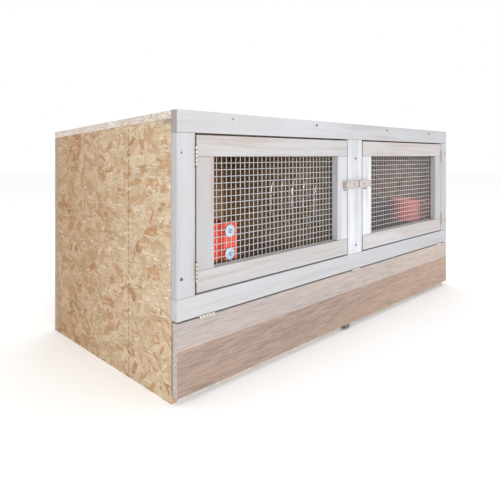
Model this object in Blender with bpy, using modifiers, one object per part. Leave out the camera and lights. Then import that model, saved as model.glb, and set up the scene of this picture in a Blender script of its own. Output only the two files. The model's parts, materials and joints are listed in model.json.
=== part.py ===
"""Two-compartment rabbit hutch of strand board panels with a framed front.

Metres, +Z up. The front faces -Y, X runs along the width, and the origin lies on the
floor under the middle of the hutch. Two wire doors swing out on the outer posts, wooden
turn buttons on the middle post hold them, and a droppings flap hangs under the bottom rail.
"""

import math

import bmesh
import bpy
from mathutils import Matrix, Vector

# Overall sizes
WIDTH = 1.350
DEPTH = 0.650
FRONT_HEIGHT = 0.640
ROOF_FALL = 0.027           # how much lower the roof is at the back than at the front

# Boards
SIDE_BOARD = 0.016
BACK_BOARD = 0.022
ROOF_BOARD = 0.018
BASE_BOARD = 0.016
PARTITION_BOARD = 0.016
FLAP_BOARD = 0.018

# Front frame
FRAME_THICKNESS = 0.021
POST_WIDTH = 0.048
MIDDLE_POST_WIDTH = 0.078
TOP_RAIL_HEIGHT = 0.049
BOTTOM_RAIL_HEIGHT = 0.048
SILL_HEIGHT = 0.230         # top of the bottom rail above the floor

# Doors
DOOR_GAP = 0.0045
DOOR_RAIL_HEIGHT = 0.048
STILE_WIDTH = 0.050
STOP_THICKNESS = 0.010
STOP_OVERLAP = 0.005        # how far the stop strip reaches behind each door

# Flap
FLAP_GAP = 0.004
FLAP_END_GAP = 0.001
CATCH_X = -0.041
CATCH_SIZE = (0.024, 0.020, 0.0115)

# Battens and bearers
BATTEN_DEPTH = 0.030
FRONT_BATTEN_HEIGHT = 0.009
REAR_BATTEN_HEIGHT = 0.030
BEARER_WIDTH = 0.030
BEARER_HEIGHT = 0.030
FLOOR_BELOW_SILL = 0.012

# Welded wire: the door and floor panels keep only every fourth or fifth wire as a flat lattice
MESH_PITCH = 0.016
DOOR_LATTICE_CELLS = 4
FLOOR_LATTICE_CELLS = 5
LATTICE_STRIP = 0.0024
DOOR_LATTICE_THICKNESS = 0.0036
FLOOR_LATTICE_THICKNESS = 0.0040
MESH_MARGIN = 0.015         # from the door's edge to the wire panel's edge

# Turn buttons
BUTTON_LENGTH = 0.064
BUTTON_HEIGHT = 0.021
BUTTON_THICKNESS = 0.015
BUTTON_INNER_END = 0.0235   # from the screw to the short end
BUTTON_SCREW_X = 0.027
BUTTON_SCREW_Z = 0.451
BUTTON_STAND = 0.0006       # between the button and the post
SCREW_RADIUS = 0.002
SCREW_HEAD_RADIUS = 0.0038
SCREW_HEAD_HEIGHT = 0.0022
SCREW_DEPTH = 0.012         # length of the screw inside the post

# Butt hinges
HINGE_LENGTH = 0.045
HINGE_LEAF = 0.016
HINGE_LEAF_THICKNESS = 0.0009
KNUCKLE_RADIUS = 0.0027
KNUCKLE_COUNT = 5
KNUCKLE_GAP = 0.0004
KNUCKLE_SIDES = 12
PIN_RADIUS = 0.0011
PIN_CLEARANCE = 0.0003
DOOR_HINGE_INSET = 0.047    # from the door's end to the middle of its hinge
FLAP_HINGE_INSET = 0.078    # from the flap's end to the middle of its outer hinges

# Feeder cups
CUP_RADIUS = 0.062
CUP_HEIGHT = 0.0905
CUP_WALL = 0.0025
CUP_SIDES = 32
PLATE_OVERHANG = 0.013      # how far the plate reaches past the cup on each side
PLATE_THICKNESS = 0.003
PLATE_START = 0.008
BOLT_INSET = 0.015          # from the cup's side to the middle of its bolts
BOLT_LOW = 0.015            # from the cup's bottom to its lower bolt
BOLT_SPACING = 0.0555
BOLT_RADIUS = 0.003
BOLT_HEAD_RADIUS = 0.0055
BOLT_HEAD_HEIGHT = 0.004
BOLT_SIDES = 20
WASHER_RADIUS = 0.015
WASHER_THICKNESS = 0.0015
DOOR_BOLT_SHANK = 0.018
DOOR_BOLT_CELLS = (6.6, 3.28)   # mesh cells from the wire panel's outer lower corner
WALL_CUP_DEPTH = 0.1425      # from the front to the middle of the cup on the right wall
WALL_CUP_BOTTOM = 0.265

# Hay rack
RACK_WIRE_RADIUS = 0.0015
RACK_WIRES = 5
RACK_FIRST_WIRE = 0.141     # from the front to the first wire
RACK_WIRE_PITCH = 0.050
RACK_TOP = 0.464
RACK_BOTTOM = 0.300
RACK_DEPTH = 0.022
RACK_FLAT = (0.38, 0.62)    # shares of the height between which the wires stand upright
RACK_ROD_OVERHANG = 0.012

TOUCH = 0.0003              # gap between two pieces that touch
CHAMFER = 0.0008
HOLE_CLEARANCE = 0.0004

# Colour, roughness and metallic value of each finish
FINISHES = {
    "strand_board": ((0.60, 0.42, 0.25), 0.75, 0.0),
    "chipboard": ((0.50, 0.44, 0.38), 0.80, 0.0),
    "white_timber": ((0.72, 0.73, 0.76), 0.60, 0.0),
    "door_timber": ((0.68, 0.65, 0.62), 0.60, 0.0),
    "raw_timber": ((0.50, 0.38, 0.26), 0.70, 0.0),
    "laminate": ((0.48, 0.38, 0.33), 0.50, 0.0),
    "button_timber": ((0.74, 0.65, 0.60), 0.60, 0.0),
    "zinc_wire": ((0.66, 0.68, 0.71), 0.35, 1.0),
    "hinge_steel": ((0.70, 0.62, 0.45), 0.35, 1.0),
    "red_plastic": ((0.80, 0.10, 0.03), 0.30, 0.0),
    "catch_plastic": ((0.42, 0.38, 0.35), 0.45, 0.0),
}

# Planes and heights worked out from the sizes above
FRONT = -DEPTH / 2
FRAME_BACK = FRONT + FRAME_THICKNESS
PANEL_FRONT = FRAME_BACK + TOUCH
BACK_FRONT = DEPTH / 2 - BACK_BOARD
INNER_REAR = BACK_FRONT - TOUCH
SIDE_INNER = WIDTH / 2 - SIDE_BOARD - TOUCH
TOP_RAIL_BOTTOM = FRONT_HEIGHT - TOP_RAIL_HEIGHT
BOTTOM_RAIL_BOTTOM = SILL_HEIGHT - BOTTOM_RAIL_HEIGHT
DOOR_BOTTOM = SILL_HEIGHT + DOOR_GAP
DOOR_TOP = TOP_RAIL_BOTTOM - DOOR_GAP
DOOR_OUTER = WIDTH / 2 - POST_WIDTH - DOOR_GAP
DOOR_INNER = MIDDLE_POST_WIDTH / 2 + DOOR_GAP
FLAP_TOP = BOTTOM_RAIL_BOTTOM - FLAP_GAP
FLAP_BOTTOM = BASE_BOARD + TOUCH
FLOOR_TOP = SILL_HEIGHT - FLOOR_BELOW_SILL
BEARER_TOP = FLOOR_TOP - FLOOR_LATTICE_THICKNESS - TOUCH
BEARER_BOTTOM = BEARER_TOP - BEARER_HEIGHT
PLATE_HALF_WIDTH = CUP_RADIUS + PLATE_OVERHANG
BOLT_OFFSET = CUP_RADIUS - BOLT_INSET
KNUCKLE_STAND = KNUCKLE_RADIUS + KNUCKLE_GAP
HINGE_Y = FRONT - KNUCKLE_STAND
DOOR_HINGE_X = DOOR_OUTER + DOOR_GAP / 2
FLAP_HINGE_Z = BOTTOM_RAIL_BOTTOM - FLAP_GAP / 2


def clear_scene():
    for obj in list(bpy.data.objects):
        bpy.data.objects.remove(obj, do_unlink=True)


def new_collection(name):
    collection = bpy.data.collections.new(name)
    bpy.context.scene.collection.children.link(collection)
    return collection


def paint(obj, finish):
    """Give an object its own material in one of the finishes."""
    colour, roughness, metallic = FINISHES[finish]
    material = bpy.data.materials.new(obj.name + "_" + finish)
    material.use_nodes = True
    shader = material.node_tree.nodes["Principled BSDF"]
    shader.inputs["Base Color"].default_value = (*colour, 1.0)
    shader.inputs["Roughness"].default_value = roughness
    shader.inputs["Metallic"].default_value = metallic
    if obj.data.users > 1 or obj.data.materials:
        while len(obj.material_slots) < 1:
            obj.data.materials.append(None)
        obj.material_slots[0].link = "OBJECT"
        obj.material_slots[0].material = material
    else:
        obj.data.materials.append(material)


def place(obj, finish, location=(0, 0, 0), rotation=(0, 0, 0), pivot=None):
    """Put a finished piece into the hutch, on a pivot empty if it moves."""
    PARTS.objects.link(obj)
    obj.rotation_euler = rotation
    obj.location = Vector(location)
    if pivot is not None:
        obj.parent = pivot
        obj.location = Vector(location) - pivot.location
    paint(obj, finish)
    return obj


def pivot_empty(name, location):
    empty = bpy.data.objects.new(name, None)
    empty.location = location
    PARTS.objects.link(empty)
    return empty


def add_bevel(obj, width):
    bevel = obj.modifiers.new("chamfer", "BEVEL")
    bevel.width = width
    bevel.segments = 1
    bevel.limit_method = "ANGLE"


def box_mesh(name, size):
    bm = bmesh.new()
    bmesh.ops.create_cube(bm, size=1, matrix=Matrix.Diagonal((*size, 1)))
    mesh = bpy.data.meshes.new(name)
    bm.to_mesh(mesh)
    bm.free()
    return mesh


def board(name, finish, low, high, pivot=None, chamfer=CHAMFER):
    """A straight board between two opposite corners."""
    low = Vector(low)
    high = Vector(high)
    obj = bpy.data.objects.new(name, box_mesh(name, high - low))
    add_bevel(obj, chamfer)
    return place(obj, finish, (low + high) / 2, pivot=pivot)


def side_profile(name, finish, outline, x_low, x_high):
    """A flat outline of (y, z) points, extruded along X."""
    curve = bpy.data.curves.new(name, "CURVE")
    curve.dimensions = "2D"
    curve.fill_mode = "BOTH"
    curve.extrude = (x_high - x_low) / 2
    spline = curve.splines.new("POLY")
    spline.points.add(len(outline) - 1)
    for point, (y, z) in zip(spline.points, outline):
        point.co = (y, z, 0, 1)
    spline.use_cyclic_u = True
    obj = bpy.data.objects.new(name, curve)
    return place(obj, finish, ((x_low + x_high) / 2, 0, 0), (math.pi / 2, 0, math.pi / 2))


def scratch(name, mesh):
    """A helper object that is joined to or cut from another one."""
    obj = bpy.data.objects.new(name, mesh)
    obj.hide_render = True
    obj.display_type = "WIRE"
    CUTTERS.objects.link(obj)
    return obj


def scratch_box(low, high):
    low = Vector(low)
    high = Vector(high)
    obj = scratch("helper_box", box_mesh("helper_box", high - low))
    obj.location = (low + high) / 2
    return obj


def scratch_rod(radius, length, centre, rotation=(0, 0, 0), sides=KNUCKLE_SIDES):
    """A cylinder whose axis lies along Z before its rotation."""
    bm = bmesh.new()
    bmesh.ops.create_cone(
        bm, cap_ends=True, segments=sides, radius1=radius, radius2=radius, depth=length)
    mesh = bpy.data.meshes.new("helper_rod")
    bm.to_mesh(mesh)
    bm.free()
    obj = scratch("helper_rod", mesh)
    obj.location = centre
    obj.rotation_euler = rotation
    return obj


def evaluated_mesh(obj, name):
    bpy.context.view_layer.update()
    graph = bpy.context.evaluated_depsgraph_get()
    mesh = bpy.data.meshes.new_from_object(obj.evaluated_get(graph))
    mesh.name = name
    mesh.materials.clear()
    return mesh


def fuse(name, base, steps):
    """Join helpers to a base, or cut them from it, in order, and return the welded mesh."""
    for operation, helper in steps:
        boolean = base.modifiers.new(operation.lower(), "BOOLEAN")
        boolean.operation = operation
        boolean.solver = "EXACT"
        boolean.object = helper
    mesh = evaluated_mesh(base, name)
    mesh.transform(base.matrix_world)
    for helper in [base] + [helper for _, helper in steps]:
        bpy.data.objects.remove(helper, do_unlink=True)
    return mesh


def smooth(mesh):
    mesh.shade_smooth()
    mesh.set_sharp_from_angle(angle=math.radians(35))


def turned_mesh(name, profile, sides):
    """Turn a profile of (radius, height) points about Z. Its outer side runs downwards."""
    mesh = bpy.data.meshes.new(name)
    points = [(radius, 0, height) for radius, height in profile]
    mesh.from_pydata(points, [(i, i + 1) for i in range(len(points) - 1)], [])
    obj = scratch(name, mesh)
    screw = obj.modifiers.new("turn", "SCREW")
    screw.axis = "Z"
    screw.steps = sides
    screw.render_steps = sides
    screw.use_merge_vertices = True
    screw.merge_threshold = 0.00005
    turned = evaluated_mesh(obj, name)
    bpy.data.objects.remove(obj, do_unlink=True)
    return turned


def wire(points, radius):
    """A round wire along a list of points, as a welded mesh helper."""
    curve = bpy.data.curves.new("wire", "CURVE")
    curve.dimensions = "3D"
    curve.bevel_depth = radius
    curve.bevel_resolution = 2
    curve.use_fill_caps = True
    spline = curve.splines.new("POLY")
    spline.points.add(len(points) - 1)
    for point, position in zip(spline.points, points):
        point.co = (*position, 1)
    obj = bpy.data.objects.new("wire", curve)
    CUTTERS.objects.link(obj)
    mesh = evaluated_mesh(obj, "wire")
    bpy.data.objects.remove(obj, do_unlink=True)
    bm = bmesh.new()
    bm.from_mesh(mesh)
    bmesh.ops.remove_doubles(bm, verts=bm.verts, dist=0.00001)
    bm.to_mesh(mesh)
    bm.free()
    return scratch("wire", mesh)


# ---- carcass ----

def roof_top(y):
    return FRONT_HEIGHT - ROOF_FALL * (y - FRONT) / DEPTH


def roof_under(y):
    return roof_top(y) - ROOF_BOARD


def under_roof(y):
    """The highest point at y of a piece that touches the roof from below."""
    return roof_under(y) - TOUCH


def panel_outline(front, bottom, front_notch, rear_notch=None):
    """An upright panel under the roof, cut away at its top corners for the battens."""
    notch_depth, notch_height = front_notch
    notch_end = front + notch_depth
    outline = [(front, bottom), (INNER_REAR, bottom)]
    if rear_notch is None:
        outline.append((INNER_REAR, under_roof(INNER_REAR)))
    else:
        rear_depth, rear_height = rear_notch
        rear_start = INNER_REAR - rear_depth
        outline.append((INNER_REAR, under_roof(INNER_REAR) - rear_height))
        outline.append((rear_start, under_roof(rear_start) - rear_height))
        outline.append((rear_start, under_roof(rear_start)))
    outline.append((notch_end, under_roof(notch_end)))
    outline.append((notch_end, under_roof(notch_end) - notch_height))
    outline.append((front, under_roof(front) - notch_height))
    return outline


def batten_outline(front, height):
    rear = front + BATTEN_DEPTH
    return [(front, under_roof(front) - height), (rear, under_roof(rear) - height),
            (rear, under_roof(rear)), (front, under_roof(front))]


def make_panels():
    half = WIDTH / 2
    notch = (BATTEN_DEPTH + TOUCH, FRONT_BATTEN_HEIGHT + TOUCH)
    side = panel_outline(PANEL_FRONT, 0, notch)
    side_profile("side_panel_left", "strand_board", side, -half, -half + SIDE_BOARD)
    side_profile("side_panel_right", "strand_board", side, half - SIDE_BOARD, half)
    rear = DEPTH / 2
    back = [(BACK_FRONT, 0), (rear, 0), (rear, under_roof(rear)),
            (BACK_FRONT, under_roof(BACK_FRONT))]
    side_profile("back_panel", "chipboard", back, -half, half)
    roof = [(PANEL_FRONT, roof_under(PANEL_FRONT)), (rear, roof_under(rear)),
            (rear, roof_top(rear)), (PANEL_FRONT, roof_top(PANEL_FRONT))]
    side_profile("roof_panel", "chipboard", roof, -half, half)
    board("base_panel", "chipboard", (-SIDE_INNER, PANEL_FRONT, 0),
          (SIDE_INNER, INNER_REAR, BASE_BOARD))


def make_front_frame():
    half = WIDTH / 2
    board("top_rail", "white_timber", (-half, FRONT, TOP_RAIL_BOTTOM),
          (half, FRAME_BACK, FRONT_HEIGHT))
    board("bottom_rail", "white_timber", (-half, FRONT, BOTTOM_RAIL_BOTTOM),
          (half, FRAME_BACK, SILL_HEIGHT))
    low = SILL_HEIGHT + TOUCH
    high = TOP_RAIL_BOTTOM - TOUCH
    board("post_left", "white_timber", (-half, FRONT, low),
          (-half + POST_WIDTH, FRAME_BACK, high))
    board("post_right", "white_timber", (half - POST_WIDTH, FRONT, low),
          (half, FRAME_BACK, high))
    post = board("post_middle", "white_timber", (-MIDDLE_POST_WIDTH / 2, FRONT, low),
                 (MIDDLE_POST_WIDTH / 2, FRAME_BACK, high))
    for side in (-1, 1):
        hole = scratch_rod(
            SCREW_RADIUS + HOLE_CLEARANCE, 2 * (SCREW_DEPTH + HOLE_CLEARANCE),
            (side * BUTTON_SCREW_X, FRONT, BUTTON_SCREW_Z), (math.pi / 2, 0, 0))
        cut = post.modifiers.new("screw_hole", "BOOLEAN")
        cut.operation = "DIFFERENCE"
        cut.solver = "EXACT"
        cut.object = hole
    stop = MIDDLE_POST_WIDTH / 2 + DOOR_GAP + STOP_OVERLAP
    board("door_stop", "raw_timber", (-stop, PANEL_FRONT, low),
          (stop, PANEL_FRONT + STOP_THICKNESS, high))


def make_battens_and_bearers():
    half = WIDTH / 2
    side_profile("roof_batten_front", "raw_timber",
                 batten_outline(PANEL_FRONT, FRONT_BATTEN_HEIGHT), -half, half)
    side_profile("roof_batten_rear", "raw_timber",
                 batten_outline(INNER_REAR - BATTEN_DEPTH, REAR_BATTEN_HEIGHT),
                 -SIDE_INNER, SIDE_INNER)
    front = PANEL_FRONT
    rear = INNER_REAR
    board("floor_bearer_front", "raw_timber", (-SIDE_INNER, front, BEARER_BOTTOM),
          (SIDE_INNER, front + BEARER_WIDTH, BEARER_TOP))
    board("floor_bearer_rear", "raw_timber", (-SIDE_INNER, rear - BEARER_WIDTH, BEARER_BOTTOM),
          (SIDE_INNER, rear, BEARER_TOP))
    start = front + BEARER_WIDTH + TOUCH
    end = rear - BEARER_WIDTH - TOUCH
    spans = {
        "floor_bearer_left": (-SIDE_INNER, -SIDE_INNER + BEARER_WIDTH),
        "floor_bearer_middle": (-BEARER_WIDTH / 2, BEARER_WIDTH / 2),
        "floor_bearer_right": (SIDE_INNER - BEARER_WIDTH, SIDE_INNER),
    }
    for name, (low, high) in spans.items():
        board(name, "raw_timber", (low, start, BEARER_BOTTOM), (high, end, BEARER_TOP))


def make_partition():
    front = PANEL_FRONT + STOP_THICKNESS + TOUCH
    front_notch = (PANEL_FRONT + BATTEN_DEPTH + TOUCH - front, FRONT_BATTEN_HEIGHT + TOUCH)
    rear_notch = (BATTEN_DEPTH + TOUCH, REAR_BATTEN_HEIGHT + TOUCH)
    outline = panel_outline(front, BEARER_TOP + TOUCH, front_notch, rear_notch)
    side_profile("partition", "strand_board", outline,
                 -PARTITION_BOARD / 2, PARTITION_BOARD / 2)


# ---- welded wire ----

def cells_between(span, cells_per_opening):
    """How many lattice openings fit a span, and the pitch of the real mesh inside it."""
    openings = max(1, round(span / (cells_per_opening * MESH_PITCH)))
    return openings, span / (openings * cells_per_opening)


def lattice(name, width, height, thickness, cells_per_opening):
    """A flat lattice in the XY plane, centred on the origin."""
    columns, _ = cells_between(width, cells_per_opening)
    rows, _ = cells_between(height, cells_per_opening)
    bm = bmesh.new()
    bmesh.ops.create_grid(bm, x_segments=columns, y_segments=rows, size=0.5)
    bmesh.ops.scale(bm, vec=(width, height, 1), verts=bm.verts)
    openings = list(bm.faces)
    bmesh.ops.inset_individual(bm, faces=openings, thickness=LATTICE_STRIP / 2)
    bmesh.ops.delete(bm, geom=openings, context="FACES_ONLY")
    mesh = bpy.data.meshes.new(name)
    bm.to_mesh(mesh)
    bm.free()
    obj = bpy.data.objects.new(name, mesh)
    solidify = obj.modifiers.new("wire_thickness", "SOLIDIFY")
    solidify.thickness = thickness
    solidify.offset = 0
    return obj


def make_floor():
    low = PARTITION_BOARD / 2 + TOUCH
    width = SIDE_INNER - low
    depth = INNER_REAR - PANEL_FRONT
    z = FLOOR_TOP - FLOOR_LATTICE_THICKNESS / 2
    for side, name in ((-1, "floor_mesh_left"), (1, "floor_mesh_right")):
        panel = lattice(name, width, depth, FLOOR_LATTICE_THICKNESS, FLOOR_LATTICE_CELLS)
        place(panel, "zinc_wire",
              (side * (low + width / 2), (PANEL_FRONT + INNER_REAR) / 2, z))


# ---- hinges ----

def knuckle_spans(first):
    """The stretches of every second knuckle, counted from the first or second one."""
    pitch = HINGE_LENGTH / KNUCKLE_COUNT
    start = -HINGE_LENGTH / 2
    return [(start + i * pitch + KNUCKLE_GAP / 2, start + (i + 1) * pitch - KNUCKLE_GAP / 2)
            for i in range(first, KNUCKLE_COUNT, 2)]


def hinge_leaf_mesh(name, side, gap, first_knuckle, with_pin):
    """One leaf with its knuckles. The axis is Z through the origin, and the leaf reaches to +Y."""
    outer = side * (gap / 2 - TOUCH)
    inner = outer - side * HINGE_LEAF_THICKNESS
    x_low, x_high = sorted((outer, inner))
    half = HINGE_LENGTH / 2
    base = scratch_box((x_low, KNUCKLE_STAND, -half),
                       (x_high, KNUCKLE_STAND + HINGE_LEAF, half))
    steps = []
    for low, high in knuckle_spans(first_knuckle):
        web = scratch_box((x_low, 0, low), (x_high, KNUCKLE_STAND + KNUCKLE_GAP, high))
        steps.append(("UNION", web))
        centre = (0, 0, (low + high) / 2)
        steps.append(("UNION", scratch_rod(KNUCKLE_RADIUS, high - low, centre)))
    if with_pin:
        pin = scratch_rod(PIN_RADIUS, HINGE_LENGTH - KNUCKLE_GAP, (0, 0, 0))
        steps.append(("UNION", pin))
    else:
        bore = scratch_rod(PIN_RADIUS + PIN_CLEARANCE, 2 * HINGE_LENGTH, (0, 0, 0))
        steps.append(("DIFFERENCE", bore))
    return fuse(name, base, steps)


def add_hinges(places, gap, turn, pivot):
    """Hinges at named places. The fixed leaf holds the pin, the other one rides on the pivot."""
    fixed = hinge_leaf_mesh("fixed_leaf", -1, gap, 0, True)
    moving = hinge_leaf_mesh("moving_leaf", 1, gap, 1, False)
    for name, location in places:
        leaf = bpy.data.objects.new(name + "_fixed_leaf", fixed)
        place(leaf, "hinge_steel", location, (0, turn, 0))
        leaf = bpy.data.objects.new(name + "_moving_leaf", moving)
        place(leaf, "hinge_steel", location, (0, turn, 0), pivot)


# ---- doors ----

def make_door(side, name):
    """One door. The side is -1 for the left one and 1 for the right one."""
    axis = Vector((side * DOOR_HINGE_X, HINGE_Y, (DOOR_BOTTOM + DOOR_TOP) / 2))
    pivot = pivot_empty(name + "_pivot", axis)

    def door_board(piece, inner, outer, low, high):
        x_low, x_high = sorted((side * inner, side * outer))
        board(f"{name}_{piece}", "door_timber", (x_low, FRONT, low),
              (x_high, FRAME_BACK, high), pivot)

    rail = DOOR_RAIL_HEIGHT
    door_board("top_rail", DOOR_INNER, DOOR_OUTER, DOOR_TOP - rail, DOOR_TOP)
    door_board("bottom_rail", DOOR_INNER, DOOR_OUTER, DOOR_BOTTOM, DOOR_BOTTOM + rail)
    low = DOOR_BOTTOM + rail + TOUCH
    high = DOOR_TOP - rail - TOUCH
    door_board("outer_stile", DOOR_OUTER - STILE_WIDTH, DOOR_OUTER, low, high)
    door_board("inner_stile", DOOR_INNER, DOOR_INNER + STILE_WIDTH, low, high)

    width = DOOR_OUTER - DOOR_INNER - 2 * MESH_MARGIN
    height = DOOR_TOP - DOOR_BOTTOM - 2 * MESH_MARGIN
    mesh = lattice(name + "_mesh", width, height, DOOR_LATTICE_THICKNESS, DOOR_LATTICE_CELLS)
    centre = (side * (DOOR_OUTER + DOOR_INNER) / 2,
              PANEL_FRONT + DOOR_LATTICE_THICKNESS / 2, (DOOR_TOP + DOOR_BOTTOM) / 2)
    place(mesh, "zinc_wire", centre, (math.pi / 2, 0, 0), pivot)

    heights = {"upper": DOOR_TOP - DOOR_HINGE_INSET, "lower": DOOR_BOTTOM + DOOR_HINGE_INSET}
    places = [(f"{name}_hinge_{level}", (axis.x, axis.y, z)) for level, z in heights.items()]
    add_hinges(places, DOOR_GAP, 0 if side < 0 else math.pi, pivot)
    return pivot


def make_turn_button(side, name):
    """A wooden button that turns on a screw in the middle post."""
    screw_x = side * BUTTON_SCREW_X
    pivot = pivot_empty(name + "_pivot", (screw_x, FRONT, BUTTON_SCREW_Z))
    inner = screw_x - side * BUTTON_INNER_END
    outer = screw_x + side * (BUTTON_LENGTH - BUTTON_INNER_END)
    x_low, x_high = sorted((inner, outer))
    back = FRONT - BUTTON_STAND
    front = back - BUTTON_THICKNESS
    half = BUTTON_HEIGHT / 2
    button = board(name, "button_timber", (x_low, front, BUTTON_SCREW_Z - half),
                   (x_high, back, BUTTON_SCREW_Z + half), pivot)
    hole = scratch_rod(SCREW_RADIUS + HOLE_CLEARANCE, 4 * BUTTON_THICKNESS,
                       (screw_x, FRONT, BUTTON_SCREW_Z), (math.pi / 2, 0, 0))
    cut = button.modifiers.new("screw_hole", "BOOLEAN")
    cut.operation = "DIFFERENCE"
    cut.solver = "EXACT"
    cut.object = hole

    head = BUTTON_STAND + BUTTON_THICKNESS + TOUCH
    profile = [(0, head + SCREW_HEAD_HEIGHT),
               (SCREW_HEAD_RADIUS * 0.7, head + SCREW_HEAD_HEIGHT * 0.8),
               (SCREW_HEAD_RADIUS, head), (SCREW_RADIUS, head),
               (SCREW_RADIUS, -SCREW_DEPTH), (0, -SCREW_DEPTH)]
    mesh = turned_mesh(name + "_screw", profile, KNUCKLE_SIDES)
    smooth(mesh)
    screw = bpy.data.objects.new(name + "_screw", mesh)
    place(screw, "hinge_steel", (screw_x, FRONT, BUTTON_SCREW_Z), (math.pi / 2, 0, 0))


# ---- flap ----

def make_flap():
    pivot = pivot_empty("flap_pivot", (0, HINGE_Y, FLAP_HINGE_Z))
    half = WIDTH / 2 - FLAP_END_GAP
    board("flap", "laminate", (-half, FRONT, FLAP_BOTTOM),
          (half, FRONT + FLAP_BOARD, FLAP_TOP), pivot)
    outer = half - FLAP_HINGE_INSET
    spots = {"left": -outer, "middle": 0, "right": outer}
    places = [(f"flap_hinge_{spot}", (x, HINGE_Y, FLAP_HINGE_Z)) for spot, x in spots.items()]
    add_hinges(places, FLAP_GAP, math.pi / 2, pivot)

    width, depth, height = CATCH_SIZE
    rear = PANEL_FRONT - TOUCH
    high = FLAP_BOTTOM - TOUCH
    board("flap_catch", "catch_plastic", (CATCH_X - width / 2, rear - depth, high - height),
          (CATCH_X + width / 2, rear, high))


# ---- feeders and hay rack ----

def feeder_mesh():
    """A round cup on a flat plate. The plate's face lies in the plane y = 0, facing -Y."""
    profile = [(0, CUP_WALL), (CUP_RADIUS - CUP_WALL, CUP_WALL),
               (CUP_RADIUS - CUP_WALL, CUP_HEIGHT), (CUP_RADIUS, CUP_HEIGHT),
               (CUP_RADIUS, 0), (0, 0)]
    cup = scratch("cup", turned_mesh("cup", profile, CUP_SIDES))
    cup.location = (0, CUP_RADIUS, 0)
    steps = []
    for side in (-1, 1):
        x_low, x_high = sorted((side * PLATE_START, side * PLATE_HALF_WIDTH))
        ear = scratch_box((x_low, 0, 0), (x_high, PLATE_THICKNESS, CUP_HEIGHT))
        steps.append(("UNION", ear))
        for z in (BOLT_LOW, BOLT_LOW + BOLT_SPACING):
            hole = scratch_rod(BOLT_RADIUS + HOLE_CLEARANCE, 3 * PLATE_THICKNESS,
                               (side * BOLT_OFFSET, 0, z), (math.pi / 2, 0, 0))
            steps.append(("DIFFERENCE", hole))
    mesh = fuse("feeder", cup, steps)
    smooth(mesh)
    return mesh


def bolt_mesh(name, shank):
    """A bolt with its washer. The washer's back is at z = 0 and the shank runs to -Z."""
    head = WASHER_THICKNESS + BOLT_HEAD_HEIGHT
    profile = [(0, head), (BOLT_HEAD_RADIUS * 0.8, head),
               (BOLT_HEAD_RADIUS, head - BOLT_HEAD_HEIGHT * 0.3),
               (BOLT_HEAD_RADIUS, WASHER_THICKNESS), (WASHER_RADIUS, WASHER_THICKNESS),
               (WASHER_RADIUS, 0), (BOLT_RADIUS, 0), (BOLT_RADIUS, -shank), (0, -shank)]
    mesh = turned_mesh(name, profile, BOLT_SIDES)
    smooth(mesh)
    return mesh


def add_bolts(feeder, mesh, place_of, rotation, pivot=None):
    for level, rise in (("lower", BOLT_LOW), ("upper", BOLT_LOW + BOLT_SPACING)):
        bolt = bpy.data.objects.new(f"{feeder}_bolt_{level}", mesh)
        place(bolt, "zinc_wire", place_of(rise), rotation, pivot)


def make_feeders(left_door):
    mesh = feeder_mesh()
    span = DOOR_OUTER - DOOR_INNER - 2 * MESH_MARGIN
    height = DOOR_TOP - DOOR_BOTTOM - 2 * MESH_MARGIN
    _, pitch_x = cells_between(span, DOOR_LATTICE_CELLS)
    _, pitch_z = cells_between(height, DOOR_LATTICE_CELLS)
    columns, rows = DOOR_BOLT_CELLS
    bolt_x = -DOOR_OUTER + MESH_MARGIN + columns * pitch_x
    bottom = DOOR_BOTTOM + MESH_MARGIN + rows * pitch_z - BOLT_LOW
    mount_y = PANEL_FRONT + DOOR_LATTICE_THICKNESS + TOUCH
    cup = bpy.data.objects.new("feeder_left", mesh)
    place(cup, "red_plastic", (bolt_x - BOLT_OFFSET, mount_y, bottom), pivot=left_door)
    door_bolt = bolt_mesh("door_bolt", DOOR_BOLT_SHANK)
    add_bolts("feeder_left", door_bolt,
              lambda rise: (bolt_x, PANEL_FRONT - TOUCH, bottom + rise),
              (math.pi / 2, 0, 0), left_door)

    wall = SIDE_INNER
    cup = bpy.data.objects.new("feeder_right", mesh)
    cup_y = FRONT + WALL_CUP_DEPTH
    place(cup, "red_plastic", (wall, cup_y, WALL_CUP_BOTTOM), (0, 0, math.pi / 2))
    wall_bolt = bolt_mesh("wall_bolt", PLATE_THICKNESS)
    add_bolts("feeder_right", wall_bolt,
              lambda rise: (wall - PLATE_THICKNESS - TOUCH, cup_y - BOLT_OFFSET,
                            WALL_CUP_BOTTOM + rise),
              (0, -math.pi / 2, 0))


def make_hay_rack():
    """Bowed upright wires with two rods across them, on the partition's left face."""
    face = -PARTITION_BOARD / 2 - TOUCH
    height = RACK_TOP - RACK_BOTTOM
    flat_low, flat_high = RACK_FLAT
    shape = [(0, 0), (0.2, 0), (0.6, 0.1), (0.88, 0.24), (1, flat_low), (1, flat_high),
             (0.88, 0.76), (0.6, 0.9), (0.2, 1), (0, 1)]
    profile = [(face - RACK_DEPTH * out, RACK_BOTTOM + height * up) for out, up in shape]
    first = FRONT + RACK_FIRST_WIRE
    places = [first + i * RACK_WIRE_PITCH for i in range(RACK_WIRES)]
    rod_x = face - RACK_DEPTH - RACK_WIRE_RADIUS
    start = places[0] - RACK_ROD_OVERHANG
    end = places[-1] + RACK_ROD_OVERHANG
    rod_heights = [RACK_BOTTOM + height * share for share in RACK_FLAT]
    rods = [wire([(rod_x, start, z), (rod_x, end, z)], RACK_WIRE_RADIUS) for z in rod_heights]
    uprights = [wire([(x, y, z) for x, z in profile], RACK_WIRE_RADIUS) for y in places]
    base = uprights[0]
    steps = [("UNION", helper) for helper in rods + uprights[1:]]
    rack = bpy.data.objects.new("hay_rack", fuse("hay_rack", base, steps))
    smooth(rack.data)
    place(rack, "zinc_wire")


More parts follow.
